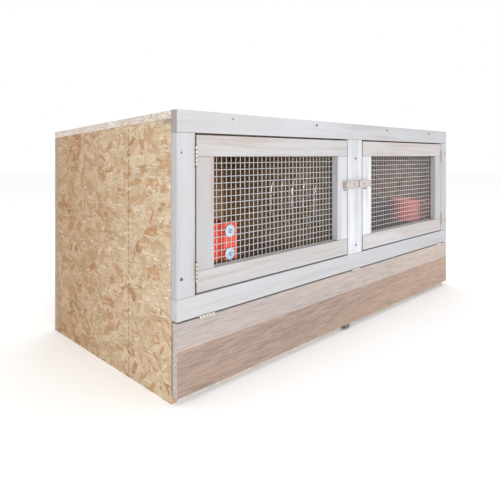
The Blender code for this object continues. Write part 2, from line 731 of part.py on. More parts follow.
clear_scene()
PARTS = new_collection("rabbit_hutch")
CUTTERS = new_collection("cutters")
make_panels()
make_front_frame()
make_battens_and_bearers()
make_partition()
make_floor()
left_door_pivot = make_door(-1, "left_door")
make_door(1, "right_door")
make_turn_button(-1, "left_turn_button")
make_turn_button(1, "right_turn_button")
make_flap()
make_feeders(left_door_pivot)
make_hay_rack()
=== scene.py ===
"""Looks for a two-compartment rabbit hutch: boards, timber, wire, fittings and studio.

Metres, +Z up. The front faces -Y and the hutch stands on the floor at the origin.
"""

import json
import math
import random

import bmesh
import bpy
from bpy.props import FloatProperty, FloatVectorProperty, IntProperty, PointerProperty
from mathutils import Matrix, Vector


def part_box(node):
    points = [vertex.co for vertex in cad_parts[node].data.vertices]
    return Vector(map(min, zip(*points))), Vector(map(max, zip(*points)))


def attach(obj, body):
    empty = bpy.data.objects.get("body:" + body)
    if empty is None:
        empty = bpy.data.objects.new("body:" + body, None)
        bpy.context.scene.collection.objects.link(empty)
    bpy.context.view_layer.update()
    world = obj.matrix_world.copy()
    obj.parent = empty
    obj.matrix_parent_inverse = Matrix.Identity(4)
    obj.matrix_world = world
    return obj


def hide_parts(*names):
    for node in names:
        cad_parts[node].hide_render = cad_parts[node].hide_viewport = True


bl_info = {
    "name": "Rabbit Hutch Finish",
    "version": (1, 0, 0),
    "blender": (4, 5, 0),
    "location": "View3D > Sidebar > Hutch",
    "description": "Finishes and small fittings for a two-compartment rabbit hutch",
    "category": "Object",
}

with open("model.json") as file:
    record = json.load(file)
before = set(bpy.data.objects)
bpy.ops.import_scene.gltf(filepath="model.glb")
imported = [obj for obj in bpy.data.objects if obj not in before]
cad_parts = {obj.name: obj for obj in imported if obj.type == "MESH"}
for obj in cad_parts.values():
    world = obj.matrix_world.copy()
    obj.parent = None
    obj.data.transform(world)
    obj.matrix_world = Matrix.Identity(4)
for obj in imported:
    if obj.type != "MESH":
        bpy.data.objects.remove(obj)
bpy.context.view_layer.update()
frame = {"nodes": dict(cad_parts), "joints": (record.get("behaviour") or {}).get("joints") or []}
NODES = frame["nodes"]
JOINTS = {joint["name"]: joint for joint in frame["joints"]}

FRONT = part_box("top_rail")[0].y
DOORS = {"left_door": -1, "right_door": 1}


def size_setting(name, text, default, low=0.0):
    return FloatProperty(name=name, description=text, default=default, min=low,
                         subtype="DISTANCE", unit="LENGTH", precision=4)


def colour_setting(name, text, default):
    return FloatVectorProperty(name=name, description=text, default=default, size=3,
                               min=0.0, max=1.0, subtype="COLOR")


class HutchBoardSettings(bpy.types.PropertyGroup):
    """Colours of the boards and the timber."""

    strand_pale: colour_setting("Pale Strand", "Lightest strands of the side boards",
                                (0.60, 0.46, 0.31))
    strand_tan: colour_setting("Tan Strand", "Usual strands of the side boards",
                               (0.455, 0.31, 0.175))
    strand_brown: colour_setting("Brown Strand", "Resinous strands of the side boards",
                                 (0.44, 0.230, 0.098))
    chip_light: colour_setting("Light Chip", "Lighter chips of the chipboard",
                               (0.72, 0.66, 0.60))
    chip_dark: colour_setting("Dark Chip", "Darker chips of the chipboard",
                              (0.42, 0.33, 0.26))
    wash_white: colour_setting("White Wash", "Whitewashed frame timber",
                               (0.455, 0.465, 0.49))
    wash_rose: colour_setting("Rose Wash", "Warm tone of the door rails",
                              (0.425, 0.395, 0.38))
    bare_timber: colour_setting("Bare Timber", "Unpainted battens and bearers",
                                (0.52, 0.39, 0.25))
    laminate_light: colour_setting("Light Laminate", "Upper band of the flap",
                                   (0.352, 0.310, 0.297))
    laminate_dark: colour_setting("Dark Laminate", "Lower band of the flap",
                                  (0.280, 0.206, 0.170))
    guide_line_depth: size_setting("Guide Line Depth",
                                   "Printed nailing line, from the board's front edge", 0.181)
    band_height: size_setting("Band Height", "Where the flap's two bands meet", 0.119)


class HutchWireSettings(bpy.types.PropertyGroup):
    """Sizes of the welded wire and of the hay rack."""

    wire_diameter: size_setting("Wire Diameter", "Welded wire of doors and floors", 0.0019)
    door_columns: IntProperty(name="Door Columns", description="Cells across a door panel",
                              default=36, min=1)
    door_rows: IntProperty(name="Door Rows", description="Cells up a door panel",
                           default=20, min=1)
    floor_pitch: size_setting("Floor Pitch", "Cell size of the floor panels", 0.016, 0.004)
    rack_diameter: size_setting("Rack Wire Diameter", "Wires of the hay rack", 0.0046)
    zinc: colour_setting("Zinc", "Galvanised wire", (0.55, 0.55, 0.57))


class HutchFittingSettings(bpy.types.PropertyGroup):
    """Sizes and colours of hinges, screws, buttons and feeders."""

    screw_head: size_setting("Frame Screw Head", "Diameter of the frame's screw heads", 0.0076)
    nail_head: size_setting("Nail Head", "Diameter of the side boards' nail heads", 0.0032)
    washer: size_setting("Washer", "Diameter of the feeders' washers", 0.030)
    cup_rim: size_setting("Cup Rim", "Thickness of the feeders' rolled rim", 0.0044)
    brass: colour_setting("Brass", "Brassed steel of the hinges", (0.56, 0.50, 0.40))
    button_wood: colour_setting("Button Wood", "Turn buttons", (0.45, 0.41, 0.385))
    plastic: colour_setting("Plastic", "Feeder cups", (0.64, 0.070, 0.030))


class HutchStudioSettings(bpy.types.PropertyGroup):
    """The studio round the hutch."""

    lens: FloatProperty(name="Lens", description="Focal length of the camera in millimetres",
                        default=33.87, min=10.0, subtype="DISTANCE_CAMERA")
    sky: FloatProperty(name="Sky Light", description="Light from all round the hutch",
                       default=1.0, min=0.0)
    floor: colour_setting("Floor", "Studio floor", (0.97, 0.97, 0.97))


def board_settings():
    return bpy.context.scene.hutch_boards


def wire_settings():
    return bpy.context.scene.hutch_wire


def fitting_settings():
    return bpy.context.scene.hutch_fittings


def studio_settings():
    return bpy.context.scene.hutch_studio


# ---- shader maths ----

def feed(tree, socket, value):
    """Link a term to a socket, or set the socket's own value."""
    if isinstance(value, Term):
        tree.links.new(value.socket, socket)
    elif socket.type == "RGBA" and len(value) == 3:
        socket.default_value = (*value, 1.0)
    else:
        socket.default_value = value


class Term:
    """A number on its way through a material, which can be used in sums."""

    def __init__(self, tree, socket):
        self.tree = tree
        self.socket = socket

    def maths(self, operation, *terms):
        node = self.tree.nodes.new("ShaderNodeMath")
        node.operation = operation
        for socket, term in zip(node.inputs, terms):
            feed(self.tree, socket, term)
        return Term(self.tree, node.outputs[0])

    def __add__(self, other):
        return self.maths("ADD", self, other)

    def __radd__(self, other):
        return self.maths("ADD", other, self)

    def __sub__(self, other):
        return self.maths("SUBTRACT", self, other)

    def __rsub__(self, other):
        return self.maths("SUBTRACT", other, self)

    def __mul__(self, other):
        return self.maths("MULTIPLY", self, other)

    def __rmul__(self, other):
        return self.maths("MULTIPLY", other, self)

    def __gt__(self, other):
        return self.maths("GREATER_THAN", self, other)

    def __lt__(self, other):
        return self.maths("LESS_THAN", self, other)

    def __mod__(self, other):
        return self.maths("FLOORED_MODULO", self, other)

    def __abs__(self):
        return self.maths("ABSOLUTE", self)


class Finish:
    """A procedural material being mixed."""

    def __init__(self, name, roughness=0.5, metallic=0.0, specular=0.5):
        self.material = bpy.data.materials.new(name)
        self.material.use_nodes = True
        self.tree = self.material.node_tree
        self.shader = self.tree.nodes["Principled BSDF"]
        self.set("Roughness", roughness)
        self.set("Metallic", metallic)
        self.set("Specular IOR Level", specular)

    def set(self, socket, value):
        feed(self.tree, self.shader.inputs[socket], value)

    def node(self, kind, inputs=None, out=0, stops=None, **settings):
        """Add a node: its settings first, then the values or links of its sockets."""
        node = self.tree.nodes.new("ShaderNode" + kind)
        for key, value in settings.items():
            setattr(node, key, value)
        if stops:
            ramp = node.color_ramp.elements
            while len(ramp) < len(stops):
                ramp.new(1.0)
            for element, (position, colour) in zip(ramp, stops):
                element.position = position
                element.color = (*colour, 1.0)
        for key, value in (inputs or {}).items():
            feed(self.tree, node.inputs[key], value)
        if isinstance(out, tuple):
            return [Term(self.tree, node.outputs[key]) for key in out]
        return Term(self.tree, node.outputs[out])

    def place(self):
        return self.node("TexCoord", out="Object")

    def facing(self):
        return self.parts(self.node("TexCoord", out="Normal"))

    def parts(self, vector):
        return self.node("SeparateXYZ", {"Vector": vector}, ("X", "Y", "Z"))

    def vector(self, x, y, z):
        return self.node("CombineXYZ", {"X": x, "Y": y, "Z": z})

    def stretched(self, vector, scale, shift=(0.0, 0.0, 0.0), turn=(0.0, 0.0, 0.0)):
        return self.node("Mapping", {"Vector": vector, "Location": shift, "Rotation": turn,
                                     "Scale": scale})

    def noise(self, vector, scale=1.0, detail=2.0, roughness=0.5, distortion=0.0):
        return self.node("TexNoise", {"Vector": vector, "Scale": scale, "Detail": detail,
                                      "Roughness": roughness, "Distortion": distortion})

    def cells(self, vector, out=("Distance", "Color", "Position"), dimensions="3D"):
        return self.node("TexVoronoi", {"Vector": vector, "Scale": 1.0}, out,
                         voronoi_dimensions=dimensions)

    def rise(self, value, low, high, start=0.0, end=1.0):
        """A smooth step from start to end while the value goes from low to high."""
        return self.node("MapRange", {"Value": value, "From Min": low, "From Max": high,
                                      "To Min": start, "To Max": end},
                         interpolation_type="SMOOTHSTEP")

    def blend(self, share, a, b, mode="MIX"):
        """Mix two colours."""
        return self.node("Mix", {0: share, 6: a, 7: b}, 2, data_type="RGBA",
                         blend_type=mode)

    def ramp(self, value, stops):
        return self.node("ValToRGB", {"Fac": value}, "Color", stops=stops)

    def shade(self, colour, amount):
        """Multiply a colour by a number."""
        grey = self.node("CombineColor", {"Red": amount, "Green": amount, "Blue": amount})
        return self.blend(1.0, colour, grey, "MULTIPLY")

    def bump(self, height, strength, distance):
        self.set("Normal", self.node("Bump", {"Height": height, "Strength": strength,
                                              "Distance": distance}))


# ---- mesh helpers ----

def piece(name, bm, finishes, body, replaces=(), smooth=40.0):
    """Turn a mesh that is already in place into a piece that rides on a body."""
    mesh = bpy.data.meshes.new(name)
    bm.to_mesh(mesh)
    bm.free()
    for finish in finishes:
        mesh.materials.append(finish)
    if smooth:
        mesh.shade_smooth()
        mesh.set_sharp_from_angle(angle=math.radians(smooth))
    obj = bpy.data.objects.new(name, mesh)
    bpy.context.scene.collection.objects.link(obj)
    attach(obj, body)
    if replaces:
        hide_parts(*replaces)
    return obj


def paint(names, finish):
    """Give carried-over boards a finish."""
    for name in names:
        slots = NODES[name].material_slots
        for material_slot in slots:
            material_slot.material = finish
        if not slots:
            NODES[name].data.materials.append(finish)


def mark(bm, start, index):
    """Give the faces made since start a material index."""
    bm.faces.ensure_lookup_table()
    for face in bm.faces[start:]:
        face.material_index = index


def add_block(bm, low, high, rounding=0.0, segments=2, matrix=None):
    """A box between two corners, with rounded edges."""
    low, high = Vector(low), Vector(high)
    sized = Matrix.Translation((low + high) / 2) @ Matrix.Diagonal((*(high - low), 1))
    made = bmesh.ops.create_cube(bm, size=1, matrix=sized)
    verts = made["verts"]
    if rounding:
        edges = list({edge for vert in verts for edge in vert.link_edges})
        bevelled = bmesh.ops.bevel(bm, geom=edges, offset=rounding, segments=segments,
                                   profile=0.5, affect="EDGES", material=-1)
        verts = list({vert for face in bevelled["faces"] for vert in face.verts}
                     | {vert for vert in verts if vert.is_valid})
    if matrix is not None:
        bmesh.ops.transform(bm, matrix=matrix, verts=verts)
    return verts


def add_rod(bm, start, end, radius, sides=12):
    """A straight round rod between two points."""
    start, end = Vector(start), Vector(end)
    along = end - start
    turn = along.to_track_quat("Z", "Y").to_matrix().to_4x4()
    matrix = Matrix.Translation((start + end) / 2) @ turn
    return bmesh.ops.create_cone(
        bm, cap_ends=True, cap_tris=False, segments=sides, radius1=radius, radius2=radius,
        depth=along.length, matrix=matrix)["verts"]


def add_turned(bm, profile, sides, matrix):
    """Turn a profile of (radius, height) about Z, closed where it meets the axis."""
    verts = [bm.verts.new((radius, 0, height)) for radius, height in profile]
    edges = [bm.edges.new(pair) for pair in zip(verts, verts[1:])]
    before = set(bm.verts) - set(verts)
    bmesh.ops.spin(bm, geom=verts + edges, cent=(0, 0, 0), axis=(0, 0, 1), dvec=(0, 0, 0),
                   angle=math.tau, steps=sides, use_merge=True, use_duplicate=False)
    made = [vert for vert in bm.verts if vert not in before]
    bmesh.ops.remove_doubles(bm, verts=made, dist=1e-6)
    made = [vert for vert in bm.verts if vert not in before]
    faces = list({face for vert in made for face in vert.link_faces})
    bmesh.ops.recalc_face_normals(bm, faces=faces)
    bmesh.ops.transform(bm, matrix=matrix, verts=made)
    return made


def add_screw_head(bm, matrix, radius, dome, depth, recess_index):
    """A round head with a cross recess, facing local +Z, its rim at height 0."""
    start = len(bm.faces)
    size = radius * 0.5
    made = bmesh.ops.create_grid(bm, x_segments=5, y_segments=5, size=size)["verts"]
    step = 2 * size / 5
    inner = step * 0.5 + 1e-7
    for vert in made:
        x, y = vert.co.x, vert.co.y
        reach = max(abs(x), abs(y))
        if reach > size - 1e-7:
            direction = Vector((x, y, 0)).normalized()
            vert.co = direction * radius
        elif reach > inner:
            vert.co *= 1.15
        vert.co.z = dome * (1 - (vert.co.x ** 2 + vert.co.y ** 2) / radius ** 2)
    bm.faces.ensure_lookup_table()
    faces = bm.faces[start:]
    cross = []
    for face in faces:
        centre = face.calc_center_median()
        arm = min(abs(centre.x), abs(centre.y))
        if arm < step * 0.4 and max(abs(centre.x), abs(centre.y)) < step * 1.6:
            cross.append(face)
    sunk = bmesh.ops.extrude_face_region(bm, geom=cross)["geom"]
    low = [item for item in sunk if isinstance(item, bmesh.types.BMVert)]
    bmesh.ops.delete(bm, geom=cross, context="FACES_ONLY")
    bmesh.ops.translate(bm, vec=(0, 0, -depth), verts=low)
    bmesh.ops.scale(bm, vec=(0.7, 0.7, 1), verts=low)
    rim = [edge for edge in bm.edges if edge.is_boundary
           and all(abs(vert.co.xy.length - radius) < radius * 0.01 for vert in edge.verts)]
    skirt = bmesh.ops.extrude_edge_only(bm, edges=rim)["geom"]
    skirt = [item for item in skirt if isinstance(item, bmesh.types.BMVert)]
    bmesh.ops.translate(bm, vec=(0, 0, -max(depth * 0.6, 0.0006)), verts=skirt)
    bm.faces.ensure_lookup_table()
    new = bm.faces[start:]
    # The floor of the cross recess takes the painted shade finish
    for face in new:
        if all(vert in low for vert in face.verts):
            face.material_index = recess_index
    verts = list({vert for face in new for vert in face.verts})
    bmesh.ops.transform(bm, matrix=matrix, verts=verts)


def facing_matrix(location, direction, roll=0.0):
    """Local +Z turned to a direction, at a place."""
    turn = Vector(direction).to_track_quat("Z", "Y").to_matrix().to_4x4()
    return Matrix.Translation(location) @ turn @ Matrix.Rotation(roll, 4, "Z")


def bent_rod(bm, start, forward, up, steps, radius, sides=10):
    """A wire that starts at a point, runs straight and bends in the plane of forward and up.

    Each step is ("run", length) or ("bend", radius, angle), where a positive angle turns
    towards up.
    """
    position, forward, up = Vector(start), Vector(forward), Vector(up)
    side = forward.cross(up)
    ring = bmesh.ops.create_circle(
        bm, cap_ends=True, segments=sides, radius=radius,
        matrix=facing_matrix(position, -forward))["verts"]
    edges = list({edge for vert in ring for edge in vert.link_edges})
    for kind, *values in steps:
        if kind == "run":
            made = bmesh.ops.extrude_edge_only(bm, edges=edges)["geom"]
            verts = [item for item in made if isinstance(item, bmesh.types.BMVert)]
            bmesh.ops.translate(bm, vec=forward * values[0], verts=verts)
            edges = [item for item in made if isinstance(item, bmesh.types.BMEdge)
                     and all(vert in verts for vert in item.verts)]
            position = position + forward * values[0]
        else:
            bend, angle = values
            turn = math.copysign(1.0, angle)
            centre = position + up * bend * turn
            count = max(2, round(abs(math.degrees(angle)) / 7))
            made = bmesh.ops.spin(bm, geom=edges, cent=centre, axis=side, dvec=(0, 0, 0),
                                  angle=angle, steps=count, use_merge=False,
                                  use_duplicate=False)["geom_last"]
            edges = [item for item in made if isinstance(item, bmesh.types.BMEdge)]
            spun = Matrix.Rotation(angle, 3, side)
            position = centre + spun @ (position - centre)
            forward, up = spun @ forward, spun @ up
    bmesh.ops.holes_fill(bm, edges=edges, sides=sides)
    bmesh.ops.recalc_face_normals(bm, faces=bm.faces)


# ---- finishes ----

def timber_finish(name, colours, grain, shift, streaks=1.0, end_tint=(0.32, 0.285, 0.275)):
    """Planed softwood. Grain is the axis it runs along, and shift picks its place in a tree."""
    roughness = 0.62
    finish = Finish(name, roughness=roughness, specular=0.35)
    place = finish.place()
    along = [60.0] * 3
    along[grain] = 2.6
    growth = finish.stretched(place, along, (shift * 1.7, shift * 2.3, shift * 3.1))
    wander = finish.noise(finish.stretched(place, (3, 3, 3), (shift, 0, 0)), 2.0, 2.0)
    figure = finish.noise(growth, 1.0, 3.0, 0.55, 0.6)
    broad = [14.0] * 3
    broad[grain] = 1.6
    cloud = finish.noise(finish.stretched(place, broad, (shift * 0.9, shift, 0.3)), 1.0, 2.0)
    fine = [900.0] * 3
    fine[grain] = 26.0
    fibre = finish.noise(finish.stretched(place, fine, (shift, shift, shift)), 1.0, 3.0, 0.6)
    hairs = [260.0] * 3
    hairs[grain] = 7.0
    hair = finish.noise(finish.stretched(place, hairs, (0, shift, shift)), 1.0, 2.0, 0.5)
    light, warm, line = colours
    tint = finish.rise(cloud * 0.7 + wander * 0.3, 0.38, 0.64)
    colour = finish.blend(tint, light, warm)
    lines = finish.rise(figure, 0.49, 0.68) * (0.32 * streaks)
    colour = finish.blend(lines, colour, line)
    tone = 0.88 + fibre * 0.12 + hair * 0.12
    colour = finish.shade(colour, tone)
    facing = finish.facing()[grain]
    rings = finish.noise(finish.stretched(place, (180, 180, 180), (0, 0, shift)), 1.0, 3.0, 0.6,
                         1.5)
    cut = finish.blend(finish.rise(rings, 0.35, 0.65), tuple(value * 0.9 for value in end_tint),
                       tuple(value * 1.12 for value in end_tint))
    on_end = abs(facing) > 0.7
    finish.set("Base Color", finish.blend(on_end, colour, cut))
    finish.set("Roughness", roughness - 0.08 + fibre * 0.14)
    finish.bump(fibre + hair * 0.6 + figure * 0.5, 0.35, 0.0004)
    return finish.material


def strand_layer(finish, flat, cell, shift, aim, spread, length, width):
    """One layer of scattered strands. Returns where they lie, what each looks like and a painted
    shadow along each strand's edges.
    """
    scaled = finish.stretched(flat, (1 / cell, 1 / cell, 0.0), shift)
    _, lot, centre = finish.cells(scaled, dimensions="2D")
    red, green, blue = finish.node("SeparateColor", {"Color": lot}, ("Red", "Green", "Blue"))
    offset = finish.node("VectorMath", {0: scaled, 1: centre}, operation="SUBTRACT")
    angle = (red - 0.5) * spread + aim
    turned = finish.node("VectorRotate", {"Vector": offset, "Angle": angle},
                         rotation_type="Z_AXIS")
    along, across, _ = finish.parts(turned)
    ragged = finish.noise(finish.stretched(flat, (120, 120, 120), shift), 1.0, 2.0) - 0.5
    across = across + (green - 0.5) * 0.22 * along * along + ragged * 0.05
    half = width * (0.5 + blue * 0.9)
    inside = finish.rise(abs(across) - half, -0.02, 0.008, 1.0, 0.0)
    ends = finish.rise(abs(along + ragged * 0.5) - length, -0.05, 0.01, 1.0, 0.0)
    lies = inside * ends
    seed = red * 37.0 + green * 91.0
    fibre = finish.noise(finish.vector(along * (2.6 * cell / 0.06),
                                       across * (24.0 * cell / 0.06), seed), 1.0, 5.0, 0.75)
    # Painted shadow: each strand darkens towards its edges
    edge = finish.rise(abs(across) - half, -0.04, -0.004) * lies
    tone = (green * 7.31 + blue * 3.77) % 1.0
    return lies, tone, fibre, edge


def strand_finish(name, axis, shift=0.0, guide=None, seed_turn=0.0):
    """Oriented strand board. Axis is the one across the board's thickness."""
    settings = board_settings()
    finish = Finish(name, roughness=0.66, specular=0.3)
    place = finish.place()
    x, y, z = finish.parts(place)
    flat = finish.vector(*{0: (y, z, 0.0), 1: (x, z, 0.0), 2: (x, y, 0.0)}[axis])
    flat = finish.stretched(flat, (1, 1, 1), (shift, shift * 0.7, 0), (0, 0, seed_turn))
    pale, tan, brown = (tuple(getattr(settings, key)) for key in
                        ("strand_pale", "strand_tan", "strand_brown"))
    deep = tuple(value * 0.78 for value in brown)
    tints = [(0.0, tuple(a * 0.5 + b * 0.5 for a, b in zip(tan, brown))), (0.18, tan),
             (0.42, tuple(a * 0.5 + b * 0.5 for a, b in zip(tan, pale))), (0.66, pale),
             (0.80, tuple(a * 0.6 + b * 0.4 for a, b in zip(tan, pale))), (0.88, tan),
             (0.94, brown), (1.0, deep)]
    ground = finish.noise(finish.stretched(flat, (50, 300, 1), turn=(0, 0, 0.3)), 1.0, 4.0,
                          0.65, 0.4)
    colour = finish.blend(finish.rise(ground, 0.3, 0.7), tan, pale)
    layers = ((0.052, 0.0, 1.6, 0.50, 0.20), (0.074, 0.3, 1.8, 0.46, 0.14),
              (0.045, -0.3, 2.4, 0.50, 0.19), (0.090, 0.1, 1.4, 0.42, 0.11),
              (0.060, -0.2, 2.0, 0.46, 0.15), (0.038, 0.5, 3.1, 0.50, 0.17),
              (0.070, 0.0, 1.6, 0.44, 0.12), (0.034, 0.1, 2.6, 0.48, 0.10),
              (0.082, -0.1, 2.6, 0.34, 0.035))
    for count, (cell, aim, spread, length, width) in enumerate(layers):
        offset = (count * 7.13 + shift, count * 3.71 - shift, 0.0)
        lies, tone, fibre, edge = strand_layer(finish, flat, cell, offset, aim, spread,
                                               length, width)
        strand = finish.ramp(tone, tints)
        strand = finish.shade(strand, 0.56 + fibre * 0.86)
        # Painted shadow along the strand's edges
        strand = finish.shade(strand, 1.0 - edge * 0.24)
        colour = finish.blend(lies * 0.93, colour, strand)
    broad = finish.noise(finish.stretched(flat, (7, 16, 1), (5, 2, 0)), 1.0, 3.0, 0.6)
    colour = finish.blend(finish.rise(broad, 0.50, 0.72) * 0.30, colour, brown)
    slivers = finish.noise(finish.stretched(flat, (24, 190, 1), (1, 7, 0), (0, 0, -0.5)), 1.0,
                           3.0, 0.65, 1.2)
    colour = finish.shade(colour, finish.rise(slivers, 0.60, 0.68, 1.0, 0.62))
    light_slivers = finish.noise(finish.stretched(flat, (26, 200, 1), (8, 3, 0),
                                                  (0, 0, 0.6)), 1.0, 2.0, 0.6, 1.0)
    colour = finish.blend(finish.rise(light_slivers, 0.60, 0.68) * 0.6, colour,
                          (0.76, 0.66, 0.53))
    # Painted light: the board is made lighter and bluer towards its front edge and darker and
    # warmer towards the rear
    painted_front_light = finish.rise(y, 0.30, -0.32)
    colour = finish.blend(1.0, colour, finish.blend(painted_front_light, (0.84, 0.78, 0.71),
                                                    (1.08, 1.13, 1.22)), "MULTIPLY")
    specks = finish.noise(finish.stretched(flat, (150, 150, 1), (3, 1, 0)), 1.0, 3.0, 0.7, 1.0)
    colour = finish.shade(colour, finish.rise(specks, 0.62, 0.70, 1.0, 0.50))
    grit = finish.noise(finish.stretched(flat, (900, 900, 1)), 1.0, 2.0, 0.6)
    colour = finish.shade(colour, 0.82 + grit * 0.36)
    if guide is not None:
        thin = abs(y - guide) < 0.0016
        dashes = ((z + 0.5) % 0.0150) < 0.0105
        worn = finish.rise(specks, 0.35, 0.55, 1.0, 0.60)
        colour = finish.blend(thin * dashes * worn * 0.92, colour, (0.09, 0.075, 0.065))
    facing = finish.facing()[axis]
    plies = finish.noise(finish.stretched(place, tuple(
        420.0 if i == axis else 26.0 for i in range(3))), 1.0, 4.0, 0.7, 0.5)
    edge_colour = finish.ramp(plies, [(0.25, tuple(v * 0.55 for v in brown)), (0.5, tan),
                                      (0.75, pale)])
    on_face = abs(facing) > 0.7
    finish.set("Base Color", finish.blend(on_face, edge_colour, colour))
    finish.set("Roughness", 0.58 + grit * 0.16)
    ridges = finish.noise(finish.stretched(place, (70, 70, 150)), 1.0, 5.0, 0.7, 1.2)
    finish.bump(ridges, 0.5, 0.0010)
    return finish.material


def chip_finish(name, axis, light=None, dark=None, coat=None):
    """Chipboard: fine chips on its faces and coarser ones in its edges."""
    settings = board_settings()
    light = light or tuple(settings.chip_light)
    dark = dark or tuple(settings.chip_dark)
    finish = Finish(name, roughness=0.72, specular=0.3)
    place = finish.place()
    scale = [330.0] * 3
    scale[axis] = 620.0
    _, lot, _ = finish.cells(finish.stretched(place, scale))
    red, green, _ = finish.node("SeparateColor", {"Color": lot}, ("Red", "Green", "Blue"))
    big = [120.0] * 3
    big[axis] = 300.0
    _, big_lot, _ = finish.cells(finish.stretched(place, big, (4, 2, 1)))
    big_red, _, _ = finish.node("SeparateColor", {"Color": big_lot}, ("Red", "Green", "Blue"))
    cloud = finish.noise(place, 22.0, 3.0)
    mix = red * 0.5 + big_red * 0.3 + cloud * 0.4
    colour = finish.ramp(mix, [(0.22, dark), (0.55, tuple((a + b) / 2 for a, b in
                                                          zip(light, dark))),
                               (0.80, light), (0.98, tuple(min(1.0, v * 1.18) for v in light))])
    grit = finish.noise(place, 1400.0, 2.0, 0.6)
    colour = finish.shade(colour, 0.94 + grit * 0.12)
    if coat is not None:
        facing = finish.facing()[axis]
        worn = finish.noise(place, 60.0, 4.0, 0.7)
        sheet = finish.shade(coat, 0.70 + worn * 0.45 + red * 0.15)
        colour = finish.blend(abs(facing) > 0.7, colour, sheet)
    finish.set("Base Color", colour)
    finish.set("Roughness", 0.66 + green * 0.14)
    finish.bump(red + grit * 0.4, 0.4, 0.0004)
    return finish.material


def laminate_finish(name):
    """Wood-print laminate in two bands over a pale chip core."""
    settings = board_settings()
    finish = Finish(name, roughness=0.45, specular=0.4)
    place = finish.place()
    x, y, z = finish.parts(place)
    upper = finish.rise(z, settings.band_height - 0.0004, settings.band_height + 0.0004)
    light, dark = tuple(settings.laminate_light), tuple(settings.laminate_dark)
    streak = finish.noise(finish.stretched(place, (16, 1, 420)), 1.0, 5.0, 0.72, 0.2)
    pores = finish.noise(finish.stretched(place, (60, 1, 1500), (3, 0, 2)), 1.0, 3.0, 0.6)
    cloud = finish.noise(finish.stretched(place, (3.0, 1, 22), (1, 0, 5)), 1.0, 3.0)
    warm = finish.rise(x, -0.5, 0.65)
    band_a = finish.blend(finish.rise(streak, 0.38, 0.62), tuple(v * 0.82 for v in light),
                          tuple(v * 1.15 for v in light))
    band_a = finish.blend(finish.rise(cloud, 0.35, 0.7) * 0.35, band_a, (0.45, 0.355, 0.31))
    band_b = finish.blend(finish.rise(streak, 0.38, 0.62), tuple(v * 0.74 for v in dark),
                          tuple(v * 1.26 for v in dark))
    band_b = finish.blend(finish.rise(cloud, 0.4, 0.7) * 0.3, band_b, (0.40, 0.28, 0.21))
    band_b = finish.shade(band_b, finish.rise(pores, 0.55, 0.70, 1.0, 0.84))
    colour = finish.blend(upper, band_b, band_a)
    rosy = finish.blend(1.0, colour, (1.30, 1.22, 1.13), "MULTIPLY")
    colour = finish.blend(warm * 0.8, colour, rosy)
    seam = finish.rise(abs(z - settings.band_height), 0.0, 0.0020, 0.45, 0.0)
    colour = finish.blend(seam, colour, (0.54, 0.47, 0.43))
    _, lot, _ = finish.cells(finish.stretched(place, (420, 420, 420)))
    red, _, _ = finish.node("SeparateColor", {"Color": lot}, ("Red", "Green", "Blue"))
    core = finish.ramp(red, [(0.0, (0.28, 0.24, 0.215)), (0.30, (0.42, 0.38, 0.355)),
                             (1.0, (0.53, 0.495, 0.475))])
    on_face = abs(finish.facing()[1]) > 0.7
    finish.set("Base Color", finish.blend(on_face, core, colour))
    finish.set("Roughness", 0.40 + streak * 0.14)
    finish.bump(streak * 0.6 + pores * 0.4, 0.22, 0.0003)
    return finish.material


def metal_finish(name, colour, roughness, grain=260.0, variation=0.14, metallic=1.0):
    """Plated metal with faint crystals and handling marks."""
    finish = Finish(name, metallic=metallic)
    place = finish.place()
    _, lot, _ = finish.cells(finish.stretched(place, (grain,) * 3))
    red, green, _ = finish.node("SeparateColor", {"Color": lot}, ("Red", "Green", "Blue"))
    dull = finish.noise(place, 45.0, 3.0)
    tone = 1.0 - variation + red * variation * 0.8 + dull * variation * 0.9
    finish.set("Base Color", finish.shade(colour, tone))
    finish.set("Roughness", roughness - 0.05 + green * 0.08 + dull * 0.10)
    finish.bump(finish.noise(place, 900.0, 2.0), 0.12, 0.0002)
    return finish.material


def dark_finish(name, colour, roughness=0.7):
    """Painted shade for the inside of a recess or hole, with a little grime."""
    finish = Finish(name, roughness=roughness)
    grime = finish.noise(finish.place(), 600.0, 3.0)
    finish.set("Base Color", finish.shade(colour, 0.6 + grime * 0.8))
    finish.set("Roughness", roughness - 0.1 + grime * 0.2)
    return finish.material


def plastic_finish(name, colour, roughness=0.32):
    """Moulded plastic with a faint pebble and a cloudy haze."""
    finish = Finish(name, roughness=roughness, specular=0.5)
    place = finish.place()
    haze = finish.noise(place, 30.0, 3.0)
    pebble = finish.noise(place, 1500.0, 2.0)
    finish.set("Base Color", finish.shade(colour, 0.92 + haze * 0.16))
    finish.set("Roughness", roughness - 0.06 + haze * 0.14)
    finish.bump(pebble, 0.10, 0.0002)
    return finish.material


FINISHES = {}


def shared(name, maker, *values, **settings):
    """Make a finish once and hand it out again."""
    if name not in FINISHES:
        FINISHES[name] = maker(name, *values, **settings)
    return FINISHES[name]


def zinc():
    return shared("galvanised_wire", metal_finish, tuple(wire_settings().zinc), 0.45, 260.0,
                  0.14, 0.25)


def bright_zinc():
    return shared("bright_zinc", metal_finish, (0.50, 0.61, 0.70), 0.32, 500.0, 0.14, 0.6)


def brass():
    return shared("brassed_steel", metal_finish, tuple(fitting_settings().brass), 0.36, 700.0,
                  0.12, 0.8)


# Painted shade for the floors of screw recesses and for the hinge pins
def recess():
    return shared("recess_shadow", dark_finish, (0.035, 0.032, 0.032))


# ---- boards and timber ----

class HUTCH_OT_strand_boards(bpy.types.Operator):
    """Finish the strand board sides and the partition"""

    bl_idname = "hutch.strand_boards"
    bl_label = "Strand Boards"

    def execute(self, context):
        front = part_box("side_panel_left")[0].y
        guide = front + board_settings().guide_line_depth
        paint(["side_panel_left"], strand_finish("left_strand_board", 0, 0.0, guide))
        paint(["side_panel_right"], strand_finish("right_strand_board", 0, 5.3))
        paint(["partition"], strand_finish("partition_strand_board", 0, 9.1))
        return {"FINISHED"}


